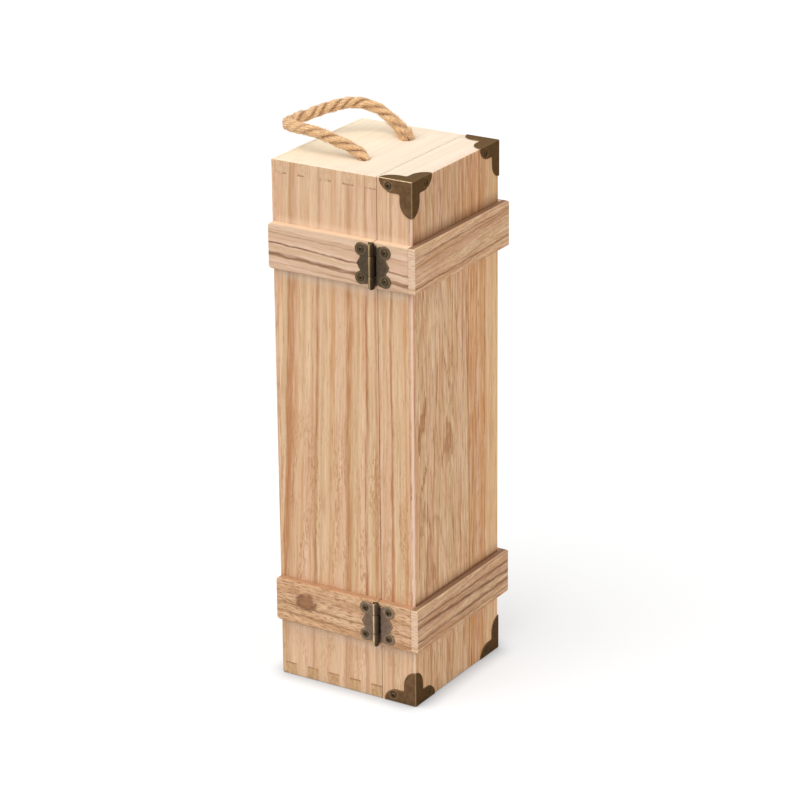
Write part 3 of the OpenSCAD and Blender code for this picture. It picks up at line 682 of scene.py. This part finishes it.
def mesh_piece(name, bm, material, sharp):
    """An object of a finished bmesh, smooth but for its edges of more than sharp degrees."""
    mesh = bpy.data.meshes.new(name)
    bm.to_mesh(mesh)
    bm.free()
    mesh.materials.append(material)
    mesh.shade_smooth()
    mesh.set_sharp_from_angle(angle=math.radians(sharp))
    return new_object(name, mesh)


def fit(piece, body, node):
    """Lets a piece ride on a body and stand for a CAD node."""
    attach(piece, body)
    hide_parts(node)


def outer_planes(point):
    """Which outer planes of the case a point lies on."""
    x, y, z = (c / MM for c in point)
    near = 0.01
    tests = (abs(abs(x) - CASE_W / 2) < near, abs(abs(y) - CASE_D / 2) < near,
             abs(z) < near or abs(z - CASE_H) < near)
    return {axis for axis, test in enumerate(tests) if test}


def softened(node, body, material, slot):
    """Stands for a CAD node with its edges eased."""
    outer, inner, shortest = EASED[slot]
    bm = bmesh.new()
    bm.from_mesh(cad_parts[node].data)
    bmesh.ops.remove_doubles(bm, verts=bm.verts, dist=WELD)
    bmesh.ops.dissolve_limit(bm, angle_limit=math.radians(0.5), verts=bm.verts, edges=bm.edges)
    layer = bm.edges.layers.float.new("bevel_weight_edge")
    for edge in bm.edges:
        if len(edge.link_faces) != 2 or edge.calc_length() < shortest * MM:
            continue
        if edge.calc_face_angle_signed() < math.radians(20):
            continue
        shared = outer_planes(edge.verts[0].co) & outer_planes(edge.verts[1].co)
        edge[layer] = 1 if len(shared) >= 2 else inner / outer
    piece = mesh_piece("finished_" + node, bm, material, 40)
    bevel = piece.modifiers.new("eased_edges", "BEVEL")
    bevel.limit_method = "WEIGHT"
    bevel.width = outer * MM
    bevel.segments = 2
    bevel.use_clamp_overlap = True
    piece.modifiers.new("even_normals", "WEIGHTED_NORMAL").keep_sharp = True
    fit(piece, body, node)


def keep_node(node, material):
    """Gives a CAD node that stays as it is a better material."""
    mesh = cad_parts[node].data
    mesh.materials.clear()
    mesh.materials.append(material)


# ---------- sheet metal ----------

GRID_GAP = 0.4


def ring_inset(outline, distance):
    """The outline moved inward. It runs counterclockwise."""
    moved = []
    for before, here, after in zip(outline[-1:] + outline, outline, outline[1:] + outline[:1]):
        tangent = (here - before).normalized() + (after - here).normalized()
        moved.append(here + Vector((-tangent.y, tangent.x)).normalized() * distance)
    return moved


def inside(outline, point):
    odd = False
    for k, a in enumerate(outline):
        b = outline[k - 1]
        if (a.y > point.y) != (b.y > point.y):
            if point.x < (b.x - a.x) * (point.y - a.y) / (b.y - a.y) + a.x:
                odd = not odd
    return odd


def line_distance(line, point):
    """Distance from a point to an open line of points."""
    best = math.inf
    for a, b in zip(line, line[1:]):
        along = b - a
        share = max(0.0, min(1.0, (point - a).dot(along) / max(along.length_squared, 1e-12)))
        best = min(best, (point - a - along * share).length)
    return best


def arc(centre, radius_x, radius_y, start, end, steps):
    """Points on part of an ellipse, its angles in degrees."""
    angles = [math.radians(start + (end - start) * k / steps) for k in range(steps + 1)]
    return [Vector((centre[0] + radius_x * math.cos(a), centre[1] + radius_y * math.sin(a)))
            for a in angles]


def spread(outline, longest):
    """The outline with no stretch longer than longest."""
    points = []
    for start, end in zip(outline, outline[1:] + outline[:1]):
        pieces = max(1, math.ceil((end - start).length / longest))
        points += [start.lerp(end, j / pieces) for j in range(pieces)]
    return points


def circle_points(centre, radii):
    points = [centre.copy()]
    for radius in radii:
        turns = max(10, int(radius * 14))
        points += arc(centre, radius, radius, 0, 360 * (turns - 1) / turns, turns - 1)
    return points


def sheet_grid(outline, rims, circles):
    """Points and triangles that fill an outline: rows along its rim, circles (centre, radii) and
    a grid of one point per millimetre that keeps its distance from them."""
    points = list(outline)
    for rim in rims:
        points += [p for p in ring_inset(outline, rim) if inside(outline, p)]
    closed = outline + outline[:1]

    def free(p, distance):
        return inside(outline, p) and line_distance(closed, p) > distance

    for centre, radii in circles:
        points += [p for p in circle_points(centre, radii) if free(p, rims[-1])]
    low_x, low_y = [min(p[axis] for p in outline) for axis in (0, 1)]
    high_x, high_y = [max(p[axis] for p in outline) for axis in (0, 1)]
    for i in range(int(high_x - low_x) + 1):
        for j in range(int(high_y - low_y) + 1):
            spot = Vector((low_x + i + 0.5, low_y + j + 0.5 * (i % 2)))
            clear = all((spot - centre).length > max(radii) + GRID_GAP for centre, radii in circles)
            if clear and free(spot, rims[-1] + GRID_GAP):
                points.append(spot)
    edges = [(k, (k + 1) % len(outline)) for k in range(len(outline))]
    points, _, faces, *_ = delaunay_2d_cdt(points, edges, [list(range(len(outline)))], 1, 1e-6)
    faces = [f for f in faces if inside(outline, sum((points[k] for k in f), Vector((0, 0))) / 3)]
    return points, faces


def rim_drop(distance, radius):
    """How far a rounded rim has fallen at a distance from the outline."""
    if distance >= radius:
        return 0.0
    return radius - math.sqrt(radius ** 2 - (radius - distance) ** 2)


def smooth(value, low, high):
    """0 at low, 1 at high and smooth between. High may be less than low."""
    share = max(0.0, min(1.0, (value - low) / (high - low)))
    return share * share * (3 - 2 * share)


class Sheet:
    """A sheet-metal piece, grown flap by flap and welded where the flaps meet."""

    def __init__(self):
        self.bm = bmesh.new()
        self.wear_and_painted_light = self.bm.verts.layers.float.new("wear_and_painted_light")

    def point(self, place, wear_and_painted_light):
        vert = self.bm.verts.new(place * MM)
        vert[self.wear_and_painted_light] = wear_and_painted_light
        return vert

    def flap(self, grid, drop, thickness, place, folded=lambda a, b: False):
        """drop gives how far a point lies under the outer surface, and its mark of scuffing and painted
        light. place maps a point and a depth to millimetres, with the mark that it adds. The border stays
        open where folded says that it meets another flap."""
        points, faces = grid
        sides = []
        for inner in (False, True):
            verts = []
            for p in points:
                depth, wear_and_painted_light = (thickness, 0.0) if inner else drop(p)
                spot, more = place(p, depth)
                verts.append(self.point(spot, wear_and_painted_light + more))
            sides.append(verts)
        outer, under = sides
        borders = set()
        for face in faces:
            self.bm.faces.new([outer[k] for k in face])
            self.bm.faces.new([under[k] for k in reversed(face)])
            borders.update(zip(face, face[1:] + face[:1]))
        for a, b in sorted(borders):
            if (b, a) not in borders and not folded(points[a], points[b]):
                self.bm.faces.new((outer[b], outer[a], under[a], under[b]))

    def skin(self, rings):
        """Joins rings of points one after another and closes both ends."""
        for below, above in zip(rings, rings[1:]):
            for k in range(len(below)):
                self.bm.faces.new((below[k - 1], below[k], above[k], above[k - 1]))
        self.bm.faces.new(rings[0])
        self.bm.faces.new(rings[-1])

    def prism(self, outline, place, low, high, ease, wear_and_painted_light):
        """A bar of the given outline from low to high, its ends eased."""
        rings = []
        for along, inset in ((low, ease), (low + ease, 0), (high - ease, 0), (high, ease)):
            ring = ring_inset(outline, inset) if inset else outline
            rings.append([self.point(place(p, along), wear_and_painted_light(q)) for p, q in zip(ring, outline)])
        self.skin(rings)

    def finish(self, prefix, node, body, material):
        bmesh.ops.remove_doubles(self.bm, verts=self.bm.verts, dist=WELD)
        bmesh.ops.recalc_face_normals(self.bm, faces=self.bm.faces)
        fit(mesh_piece(prefix + node, self.bm, material, 50), body, node)


# ---------- corner brackets ----------

FOLD_R = 0.9
RIM_R = 0.3
DISH_R = 3.0
DISH_DEEP = 0.26
DISH_RINGS = (1.2, 1.9, 2.2, 2.5, 2.8, 3.1)


def dish(far, painted_shade):
    """How far the metal is sunk at a distance from a screw, and its mark there: scuffed lighter on the
    dish's rim, with painted shade by the head."""
    rubbed_and_highlight = 0.12 * smooth(abs(far - DISH_R), 0.5, 0.1)
    return DISH_DEEP * smooth(far, DISH_R, 2.0), rubbed_and_highlight - painted_shade * smooth(far, 2.6, 2.0)


def flap_outline():
    """One flap, from the outer corner at the origin, with an arm along each axis."""
    wide = BRACKET_W + BRACKET_T
    start = BRACKET_ARM - BRACKET_ROUND + BRACKET_T
    one = [Vector((BRACKET_ARM + BRACKET_T, 0))]
    one += arc((start, BRACKET_T), BRACKET_ROUND, BRACKET_W, 0, 90, 22)
    corner = arc((wide + 1, wide + 1), 1, 1, 270, 180, 5)
    other = [Vector((p.y, p.x)) for p in reversed(one)]
    return spread([Vector((0, 0))] + one + corner + other, 0.6)


def corner_brackets(material):
    outline = flap_outline()
    free = [p for p in outline if p.x > 1e-6 and p.y > 1e-6]
    screw = Vector((BRACKET_SCREW_AT + BRACKET_T, BRACKET_SCREW_IN + BRACKET_T))
    rims = (0.06, 0.15, 0.3, 0.6, 0.9)
    plain = sheet_grid(outline, rims, [])
    dished = sheet_grid(outline, rims, [(screw, DISH_RINGS)])

    def drop(p):
        rim = line_distance(free, p)
        return rim_drop(rim, RIM_R), 0.2 * smooth(rim, 0.4, 0.05)

    def dished_drop(p):
        return tuple(map(sum, zip(drop(p), dish((p - screw).length, 0.6))))

    def folded(a, b):
        return max(a.x, b.x) < 1e-6 or max(a.y, b.y) < 1e-6

    for level, height, down in (("top", CASE_H + BRACKET_T, -1), ("bottom", 0, 1)):
        for side, across in (("hinge", -1), ("latch", 1)):
            corner = Vector((across * (CASE_W / 2 + BRACKET_T), -CASE_D / 2 - BRACKET_T, height))
            inward = Vector((-across, 1, down))

            def bent(x, y, z, depth):
                """Rounds the folds and lightens them, partly scuffing and partly a painted highlight, most
                between the side and the level flap.
                """
                flat = Vector((x, y, z))
                core = Vector([max(c, FOLD_R) for c in flat])
                out = (flat - core).normalized()
                fold = (1 - max(abs(c) for c in out)) / (1 - math.sqrt(0.5))
                x, y, z = (abs(c) for c in out)
                share = (0.8 * x * z + 0.35 * x * y + 0.15 * y * z) / max(x * z + x * y + y * z, 1e-9)
                return corner + (core + out * (FOLD_R - depth)) * inward, fold * share

            sheet = Sheet()
            for grid, fall, place in (
                    (dished, dished_drop, lambda p, depth: bent(0, p.x, p.y, depth)),
                    (dished, dished_drop, lambda p, depth: bent(p.x, 0, p.y, depth)),
                    (plain, drop, lambda p, depth: bent(p.x, p.y, 0, depth))):
                sheet.flap(grid, fall, BRACKET_T, place, folded)
            sheet.finish("sheet_", f"{level}_bracket_{side}_side", "lid", material)


# ---------- hinges ----------

LEAF_RIM_R = 0.4


def leaf_outline():
    """One leaf, X away from the barrel axis and Y along it."""
    top = LEAF_H / 2
    at_side = math.degrees(math.asin((top - LOBE_UP) / LOBE_R))
    nick_out = (LEAF_EDGE + LOBE_OUT - LOBE_R * 0.7) / 2
    nick_mid = top + NICK_R * 0.4
    nick_side = math.degrees(math.asin(0.4))
    upper = arc((POINT_REACH - 0.9, 0), 0.9, 0.9, 0, 50, 4) + [Vector((LEAF_REACH, POINT_HALF))]
    upper += arc((LOBE_OUT, LOBE_UP), LOBE_R, LOBE_R, -80, 180 - at_side, 26)
    upper += arc((nick_out, nick_mid), NICK_R, NICK_R, -nick_side, nick_side - 180, 8)
    upper.append(Vector((LEAF_EDGE, top)))
    lower = [Vector((p.x, -p.y)) for p in reversed(upper[1:])]
    return spread(upper + lower, 0.6)


def knuckle_outline():
    """End view of a knuckle: X away from the axis, Y out from the slat's face."""
    reach = math.degrees(math.asin((BARREL_R - LEAF_T) / BARREL_R))
    web = [Vector((BARREL_R + 0.8, 0)), Vector((BARREL_R + 0.8, LEAF_T))]
    return web + arc((0, BARREL_R), BARREL_R, BARREL_R, -reach, 270, 30)


def knuckle_painted_light(y, height):
    """A painted highlight along the crown, with painted shade low down and on the side that faces the
    front.
    """
    rubbed_and_highlight = 0.75 * smooth(height, 3.1, 3.8) * smooth(y, -0.3, 0.2)
    return rubbed_and_highlight - 0.85 * max(smooth(height, 2.6, 1.0), smooth(y, -0.3, -1.0))


def hinge_leaves(metals):
    outline = leaf_outline()
    closed = outline + outline[:1]
    lobes = [Vector((LOBE_OUT, up * LOBE_UP)) for up in (-1, 1)]
    dimples = [Vector((3.9, up * 2.1)) for up in (-1, 1)]
    circles = [(lobe, DISH_RINGS) for lobe in lobes]
    circles += [(dimple, (0.25, 0.5, 0.75)) for dimple in dimples]
    grid = sheet_grid(outline, (0.08, 0.2, 0.4), circles)

    def drop(p):
        rim = line_distance(closed, p)
        fall = rim_drop(rim, LEAF_RIM_R)
        # Rims scuffed lighter; painted shade on the leaf next to the barrel
        worn_and_painted_light = 0.16 * smooth(rim, 0.6, 0.1) - 0.9 * smooth(p.x, 3.0, 2.0)
        for lobe in lobes:
            deeper, more = dish((p - lobe).length, 0.5)
            fall += deeper
            worn_and_painted_light += more
        for dimple in dimples:
            fall += 0.16 * smooth((p - dimple).length, 0.75, 0.2)
        return fall, worn_and_painted_light

    end = BARREL_H / 2
    split = MID_KNUCKLE / 2
    leaves = (("tray", 1, [(-end, -split - KNUCKLE_GAP), (split + KNUCKLE_GAP, end)]),
              ("lid", -1, [(-split, split)]))
    for level, z in SLAT_Z.items():
        for body, out, knuckles in leaves:
            sheet = Sheet()

            def on_face(u, h, v):
                return Vector((-SLAT_FACE_X - h, SEAM_Y + out * u, z + v))

            sheet.flap(grid, drop, LEAF_T,
                       lambda p, depth: (on_face(p.x, LEAF_T - depth, p.y), 0.0))
            for low, high in knuckles:
                sheet.prism(knuckle_outline(), lambda p, v: on_face(p.x, p.y, v), low, high, 0.16,
                            lambda p: knuckle_painted_light(p.x * out, p.y))
            sheet.finish("sheet_", f"{level}_hinge_{body}_leaf", body, metals[level])


# ---------- screws ----------

HEAD_RINGS = ((0.12, 0.6), (0.24, 0.6), (0.36, 0.6), (0.5, 0.6), (0.66, 0.59), (0.84, 0.58),
              (1.02, 0.56), (1.2, 0.53), (1.38, 0.49), (1.58, 0.41), (1.76, 0.29), (1.87, 0.14),
              (HEAD_R, 0.0))
SCREW_SIDES = 60
CROSS_HALF = 0.27
CROSS_REACH = 1.25
CROSS_DEEP = 0.42
SHANK_R = 0.9
TIP_R = 0.1
TIP_LONG = 0.6


def islands(node):
    """The separate solids of a CAD node, each as its lowest and highest corner in millimetres."""
    bm = bmesh.new()
    bm.from_mesh(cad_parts[node].data)
    bmesh.ops.remove_doubles(bm, verts=bm.verts, dist=WELD)
    left = set(bm.verts)
    boxes = []
    while left:
        found = [left.pop()]
        for vert in found:
            near = {edge.other_vert(vert) for edge in vert.link_edges} & left
            left -= near
            found.extend(near)
        places = np.array([tuple(v.co) for v in found]) / MM
        boxes.append((places.min(0), places.max(0)))
    bm.free()
    return sorted(boxes, key=lambda box: tuple(np.round(box[0], 2)))


def cross_drop(x, y):
    """How deep the cross slot is at a place on the head."""
    deepest = 0.0
    for across, along in ((abs(x), abs(y)), (abs(y), abs(x))):
        in_arm = smooth(across, CROSS_HALF + 0.08, CROSS_HALF - 0.08)
        deepest = max(deepest, in_arm * smooth(along, CROSS_REACH, CROSS_REACH - 0.25))
    return CROSS_DEEP * deepest


def screws(node, body, material):
    """Domed cross-head screws where the CAD node has its screws."""
    sheet = Sheet()
    up = Vector((0, 0, 1))
    for number, (low, high) in enumerate(islands(node)):
        middle = (low + high) / 2
        axis = int(np.argmax(high - low))
        sign = -1 if middle[axis] < 0 else 1
        length = (high - low)[axis] - HEAD_H
        seat = Vector(middle)
        seat[axis] = (low if sign < 0 else high)[axis] - sign * HEAD_H
        out = Vector([sign if k == axis else 0 for k in range(3)])
        side = up.cross(out)
        turned = 0.35 + 1.9 * number
        shank = ((SHANK_R, 0.0), (SHANK_R, TIP_LONG - length), (TIP_R, -length))
        rings = []
        for index, (radius, height) in enumerate(HEAD_RINGS + shank):
            ring = []
            for k in range(SCREW_SIDES):
                angle = 2 * math.pi * k / SCREW_SIDES
                x, y = radius * math.cos(angle - turned), radius * math.sin(angle - turned)
                drop, worn_and_painted_light = 0.0, 0.0
                if index < len(HEAD_RINGS):
                    drop = cross_drop(x, y)
                    # A painted highlight ring on the head's shoulder, and painted shade in the cross slot
                    # by its depth
                    worn_and_painted_light = 0.2 * smooth(radius, 1.0, 1.6) * smooth(radius, 1.9, 1.7) - 2 * drop
                flat = (side * math.cos(angle) + up * math.sin(angle)) * radius
                ring.append(sheet.point(seat + flat + out * (height - drop), worn_and_painted_light))
            rings.append(ring)
        sheet.skin(rings)
    sheet.finish("cross_head_", node, body, material)


# ---------- rope ----------

ROPE_STEP = 0.4
ROPE_SIDES = 96
STRANDS = 3
GROOVE_DEEP = 1.45
YARNS = 17
YARN_DEEP = 0.3
ROUGH_HIGH = 0.42
# Heights 0 to 1 for a rough surface, one row per ring and one column for each of the fibres
ROUGH = np.random.default_rng(7).random((512, 40))
ROUGH_RING = 1.1
BEND_AT = 86  # along the rope from its end in the tray, where it doubles back
HAIRS = 2200
HAIR_STEPS = 5
FRAY_HAIRS = 160
FRAY_RINGS = 18
HOLE_X = 25
WRAP_D = 6.8
WRAP_RADIUS = 6.4  # of the knot's turns round the rope, at their middle line
WRAP_TURNS = 1.9
TUCK_RADIUS = 2.2
KNOT_LOW_Z = 329
KNOT_HIGH_Z = 338


def smooth_line(points, step):
    """Points at even spacing along a smooth curve through the given points."""
    p = [Vector(q) for q in points]
    p = [2 * p[0] - p[1]] + p + [2 * p[-1] - p[-2]]
    dense = []
    for k in range(1, len(p) - 2):
        a, b, c, d = p[k - 1:k + 3]
        for j in range(24):
            t = j / 24
            dense.append(0.5 * (2 * b + (c - a) * t + (2 * a - 5 * b + 4 * c - d) * t * t
                                + (3 * b - a - 3 * c + d) * t ** 3))
    dense.append(p[-2])
    places = [0.0]
    for a, b in zip(dense, dense[1:]):
        places.append(places[-1] + (b - a).length)
    xyz = np.array([tuple(q) for q in dense])
    at = np.linspace(0, places[-1], round(places[-1] / step) + 1)
    return [Vector(q) for q in np.stack([np.interp(at, places, xyz[:, i]) for i in range(3)], 1)]


def steady_frames(line):
    """Tangent and two across directions at each point, turning as little as they can."""
    frames = []
    across = None
    for k, _ in enumerate(line):
        tangent = (line[min(k + 1, len(line) - 1)] - line[max(k - 1, 0)]).normalized()
        if across is None:
            across = tangent.orthogonal().normalized()
        across = (across - tangent * across.dot(tangent)).normalized()
        frames.append((tangent, across, tangent.cross(across)))
    return frames


def roughness_at(angle, s):
    """Smoothly blended heights from the table, which closes on itself round the rope."""
    rows, columns = ROUGH.shape
    a, b = s / ROUGH_RING, angle / (2 * math.pi) * columns
    i, j = math.floor(a), math.floor(b)
    u, v = smooth(a - i, 0, 1), smooth(b - j, 0, 1)
    low, high = [ROUGH[k % rows, j % columns] * (1 - v) + ROUGH[k % rows, (j + 1) % columns] * v
                 for k in (i, i + 1)]
    return low * (1 - u) + high * u


def rope_surface(angle, s):
    """The rope's surface at an angle round it: its radius in rope radii, how deep in a groove it is, how
    far down between two yarns, and the yarn's tone, which is also darker where the rough surface lies low.
    The last three mark painted shade in the jute's colour, the tone only in part."""
    twist = -2 * math.pi * s / ROPE_LAY + 0.4 * math.sin(s / 9) + 0.18 * math.sin(s / 3.7)
    turned = (angle - twist) * STRANDS / (2 * math.pi)
    strand = math.floor(turned) % STRANDS
    local = abs(turned % 1 - 0.5) * 2
    groove = 1 - math.sin(0.5 * math.pi * (1 - local)) ** 0.72
    groove *= 1 - 0.75 * math.exp(-((s - BEND_AT) / 13) ** 2)
    groove *= 0.8 + 0.25 * math.sin(s / 5.3 + 2.1 * strand)
    lean = angle + 2 * math.pi * s / 95 + 0.14 * math.sin(s / 2.6 + 2 * angle)
    place = YARNS * lean / (2 * math.pi)
    yarn = abs(math.sin(math.pi * place))
    tone = math.sin(127.1 * (math.floor(place) % YARNS) + 311.7 * strand + 0.12 * s) * 43.7
    tone = 0.5 + 0.5 * math.sin(tone + s / 5)
    wobble = 0.12 * math.sin(3 * angle + s * 0.9) * math.sin(s * 0.37 + 2 * angle)
    rough = roughness_at(angle, s)
    radius = ROPE_D / 2 - GROOVE_DEEP * groove - YARN_DEEP * (1 - yarn) + wobble
    radius += ROUGH_HIGH * (rough - 0.5)
    return radius / (ROPE_D / 2), groove, (1 - yarn) ** 2, 0.55 * tone + 0.45 * (1 - rough)


def tube_faces(rings, sides, start=0):
    """Quads between rings of points, the first of them at index start."""
    faces = []
    for ring in range(start, start + (rings - 1) * sides, sides):
        for j in range(sides):
            a, b = ring + j, ring + (j + 1) % sides
            faces.append((a, b, b + sides, a + sides))
    return faces


def rope_piece(name, points, faces, marks, material):
    """A new piece of rope, with the three marks of each point for its material."""
    mesh = bpy.data.meshes.new(name)
    mesh.from_pydata([tuple(c * MM for c in p) for p in points], [], faces)
    mesh.validate()
    mesh.materials.append(material)
    mesh.shade_smooth()
    for mark, values in zip(ROPE_MARKS, zip(*marks)):
        layer = mesh.attributes.new(mark, "FLOAT", "POINT")
        layer.data.foreach_set("value", [float(v) for v in values])
    return new_object(name, mesh)


def plain_radius(ring):
    return ROPE_D / 2


def laid_rope(name, line, frames, first, last, material, radius_at=plain_radius):
    """A stretch of the rope between two rings, closed at both ends."""
    points, marks = [], []
    for k in range(first, last + 1):
        _, across, up = frames[k]
        for j in range(ROPE_SIDES):
            angle = 2 * math.pi * j / ROPE_SIDES
            radius, *mark = rope_surface(angle, k * ROPE_STEP)
            radius *= radius_at(k)
            points.append(line[k] + (across * math.cos(angle) + up * math.sin(angle)) * radius)
            marks.append(mark)
    faces = tube_faces(last - first + 1, ROPE_SIDES)
    middle, end = len(points), len(points) - ROPE_SIDES
    for j in range(ROPE_SIDES):
        b = (j + 1) % ROPE_SIDES
        faces += [(middle, b, j), (middle + 1, end + j, end + b)]
    points += [line[first], line[last]]
    marks += [(0.5, 0.5, 0.5)] * 2
    return rope_piece(name, points, faces, marks, material)


def rope_hairs(name, line, frames, count, first, last, material, radius_at=plain_radius,
               frayed=0.09):
    """Loose fibres that stand off the rope from its first ring to its last, with more of them on
    the frayed share at the end."""
    points, faces, marks = [], [], []
    sides = 3
    for number in range(count):
        share = random.random()
        if number % 5 < 2:
            share = 1 - frayed * random.random() ** 1.3
        k = first + int(share * (last - first))
        tangent, across, up = frames[k]
        angle = random.uniform(0, 2 * math.pi)
        out = across * math.cos(angle) + up * math.sin(angle)
        around = tangent.cross(out)
        radius = rope_surface(angle, k * ROPE_STEP)[0] * radius_at(k)
        reach = random.uniform(1.5, 6.0)
        lift = random.uniform(0.3, 1.2)
        turn = random.uniform(-0.9, 0.9)
        way = random.choice((-1, 1))
        thick = random.uniform(0.06, 0.13)
        tone = random.random()
        base = line[k] + out * (radius - 0.2)
        start = len(points)
        for j in range(HAIR_STEPS + 1):
            t = j / HAIR_STEPS
            bow = math.sin(t * 2.2) if number % 2 else t ** 1.5
            spot = base + tangent * (way * reach * t) + out * (lift * bow + 0.1)
            spot += around * (turn * t * t)
            wide = thick * (1 - 0.75 * t)
            for s in range(sides):
                spin = 2 * math.pi * s / sides
                points.append(spot + (out * math.cos(spin) + around * math.sin(spin)) * wide)
                marks.append((0.0, 0.1, tone * 0.6))
        faces += tube_faces(HAIR_STEPS + 1, sides, start)
        tip = start + HAIR_STEPS * sides
        faces += [(start + 2, start + 1, start), (tip, tip + 1, tip + 2)]
    return rope_piece(name, points, faces, marks, material)


def knot_line(x):
    """The turns of a knot round the rope at x, tucked in at both ends."""
    points = []
    steps = 22
    for k in range(steps + 1):
        t = k / steps
        angle = 2 * math.pi * WRAP_TURNS * t + (0 if x < 0 else math.pi)
        radius = TUCK_RADIUS + (WRAP_RADIUS - TUCK_RADIUS) * smooth(min(t, 1 - t), 0, 0.16)
        z = KNOT_HIGH_Z + (KNOT_LOW_Z - KNOT_HIGH_Z) * t
        points.append((x + radius * math.cos(angle), radius * math.sin(angle), z))
    return smooth_line(points, ROPE_STEP)


def rope_line():
    """The rope's middle line, from its end below one hole to its end below the other."""
    inside_z = (ROPE_TAIL_Z, 326, 334, 342, 347)
    start = [(-HOLE_X, 0, z) for z in inside_z]
    route = [(-HOLE_X, 0.3, 1.2), (-25.5, 2.4, 3.7)] + ROPE_ROUTE
    route += [(25.4, 2.3, 3.9), (HOLE_X, 0.3, 1.2)]
    loop = [(x, y, CASE_H + up) for x, y, up in route]
    end = [(HOLE_X, 0, z) for z in reversed(inside_z)]
    return smooth_line(start + loop + end, ROPE_STEP)


def make_rope(material):
    random.seed(41)
    line = rope_line()
    frames = steady_frames(line)
    above = [k for k, p in enumerate(line) if p.z >= CASE_H]
    first, last = above[0], above[-1]

    def loop_radius(k):
        near_end = math.exp(-((last - k) * ROPE_STEP / 8) ** 2)
        return plain_radius(k) * (1 + 0.2 * near_end)

    loop = laid_rope("rope_loop", line, frames, first, last, material, loop_radius)
    path = [p * MM for p in line[first:last + 1]]
    length = sum((b - a).length for a, b in zip(path, path[1:]))
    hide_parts("rope_handle")
    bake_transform(loop)
    hairs = rope_hairs("rope_hairs", line, frames, HAIRS, first + 4, last - 2, material, loop_radius)
    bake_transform(hairs)

    ends = (("hinge_side", -HOLE_X, 0, first), ("latch_side", HOLE_X, last, len(line) - 1))
    for side, x, start, stop in ends:
        tail = laid_rope("rope_tail_" + side, line, frames, start, stop, material)
        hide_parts("rope_end_" + side)
        turns = knot_line(x)
        knot = laid_rope("rope_knot_" + side, turns, steady_frames(turns), 0, len(turns) - 1,
                         material, lambda k: WRAP_D / 2)
        high, low = (FRAY_RINGS, 0) if start == 0 else (stop - FRAY_RINGS, stop)
        fray = rope_hairs("rope_fray_" + side, line, frames, FRAY_HAIRS, high, low, material,
                          frayed=0.9)
        for piece in (tail, knot, fray):
            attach(piece, "tray")


def make_woodwork():
    side = side_wood("side_wood")
    far_side = side_wood("far_side_wood", 23)
    front = front_wood()
    back = back_wood()
    end = end_wood()
    for body, rail in (("tray", "board"), ("lid", "rail")):
        softened(f"{body}_hinge_side_board", body, side, "boards")
        softened(f"{body}_latch_side_board", body, far_side, "boards")
        softened(f"{body}_top_{rail}", body, end, "boards")
        softened(f"{body}_bottom_{rail}", body, end, "boards")
    softened("back_panel", "tray", back, "panels")
    softened("front_panel", "lid", front, "panels")
    for level in SLAT_Z:
        side_slat = slat_wood(level, "side")
        for body in ("tray", "lid"):
            for away in ("hinge", "latch"):
                softened(f"{body}_{level}_slat_{away}_side", body, side_slat, "slats")
        softened(f"{level}_front_slat", "lid", slat_wood(level, "front"), "slats")


def make_fittings():
    bracket_metal = bronze("bracket_bronze", (100, 74, 50), (116, 88, 62), (236, 208, 164), 0.4)
    upper_metal = bronze("upper_hinge_bronze", (76, 66, 52), (90, 76, 62), (196, 170, 118), 0.42,
                         (56, 40, 28))
    # The lower hinge: a lighter copy of the hinge bronze, with a brighter highlight and lighter painted
    # shade, as painted light
    lower_hinge_lit_metal = bronze("lower_hinge_lit_bronze", (108, 90, 75), (123, 103, 88), (240, 216, 170), 0.36,
                         (74, 58, 42))
    screw_metal = bronze("screw_bronze", (66, 54, 38), (80, 66, 48), (170, 148, 112), 0.4)
    corner_brackets(bracket_metal)
    hinge_leaves({"upper": upper_metal, "lower": lower_hinge_lit_metal})
    screws("bracket_screws", "lid", screw_metal)
    for body in ("lid", "tray"):
        screws(f"hinge_screws_{body}", body, screw_metal)
        screws(f"latch_screws_{body}", body, screw_metal)
    for level in SLAT_Z:
        softened(f"{level}_latch_keeper", "tray", upper_metal, "fittings")
        softened(f"{level}_latch_plate", "lid", upper_metal, "fittings")
        softened(f"{level}_latch_hasp", f"{level}_hasp", upper_metal, "fittings")
        keep_node(f"{level}_hinge_pin", upper_metal)
        keep_node(f"{level}_latch_pin", upper_metal)


make_camera()
make_world()
make_floor()
make_rope(jute())
make_woodwork()
make_fittings()
for name, settings in LIGHTS.items():
    far_light(name, *settings)
bpy.context.scene.view_settings.view_transform = "Standard"
bpy.context.view_layer.update()
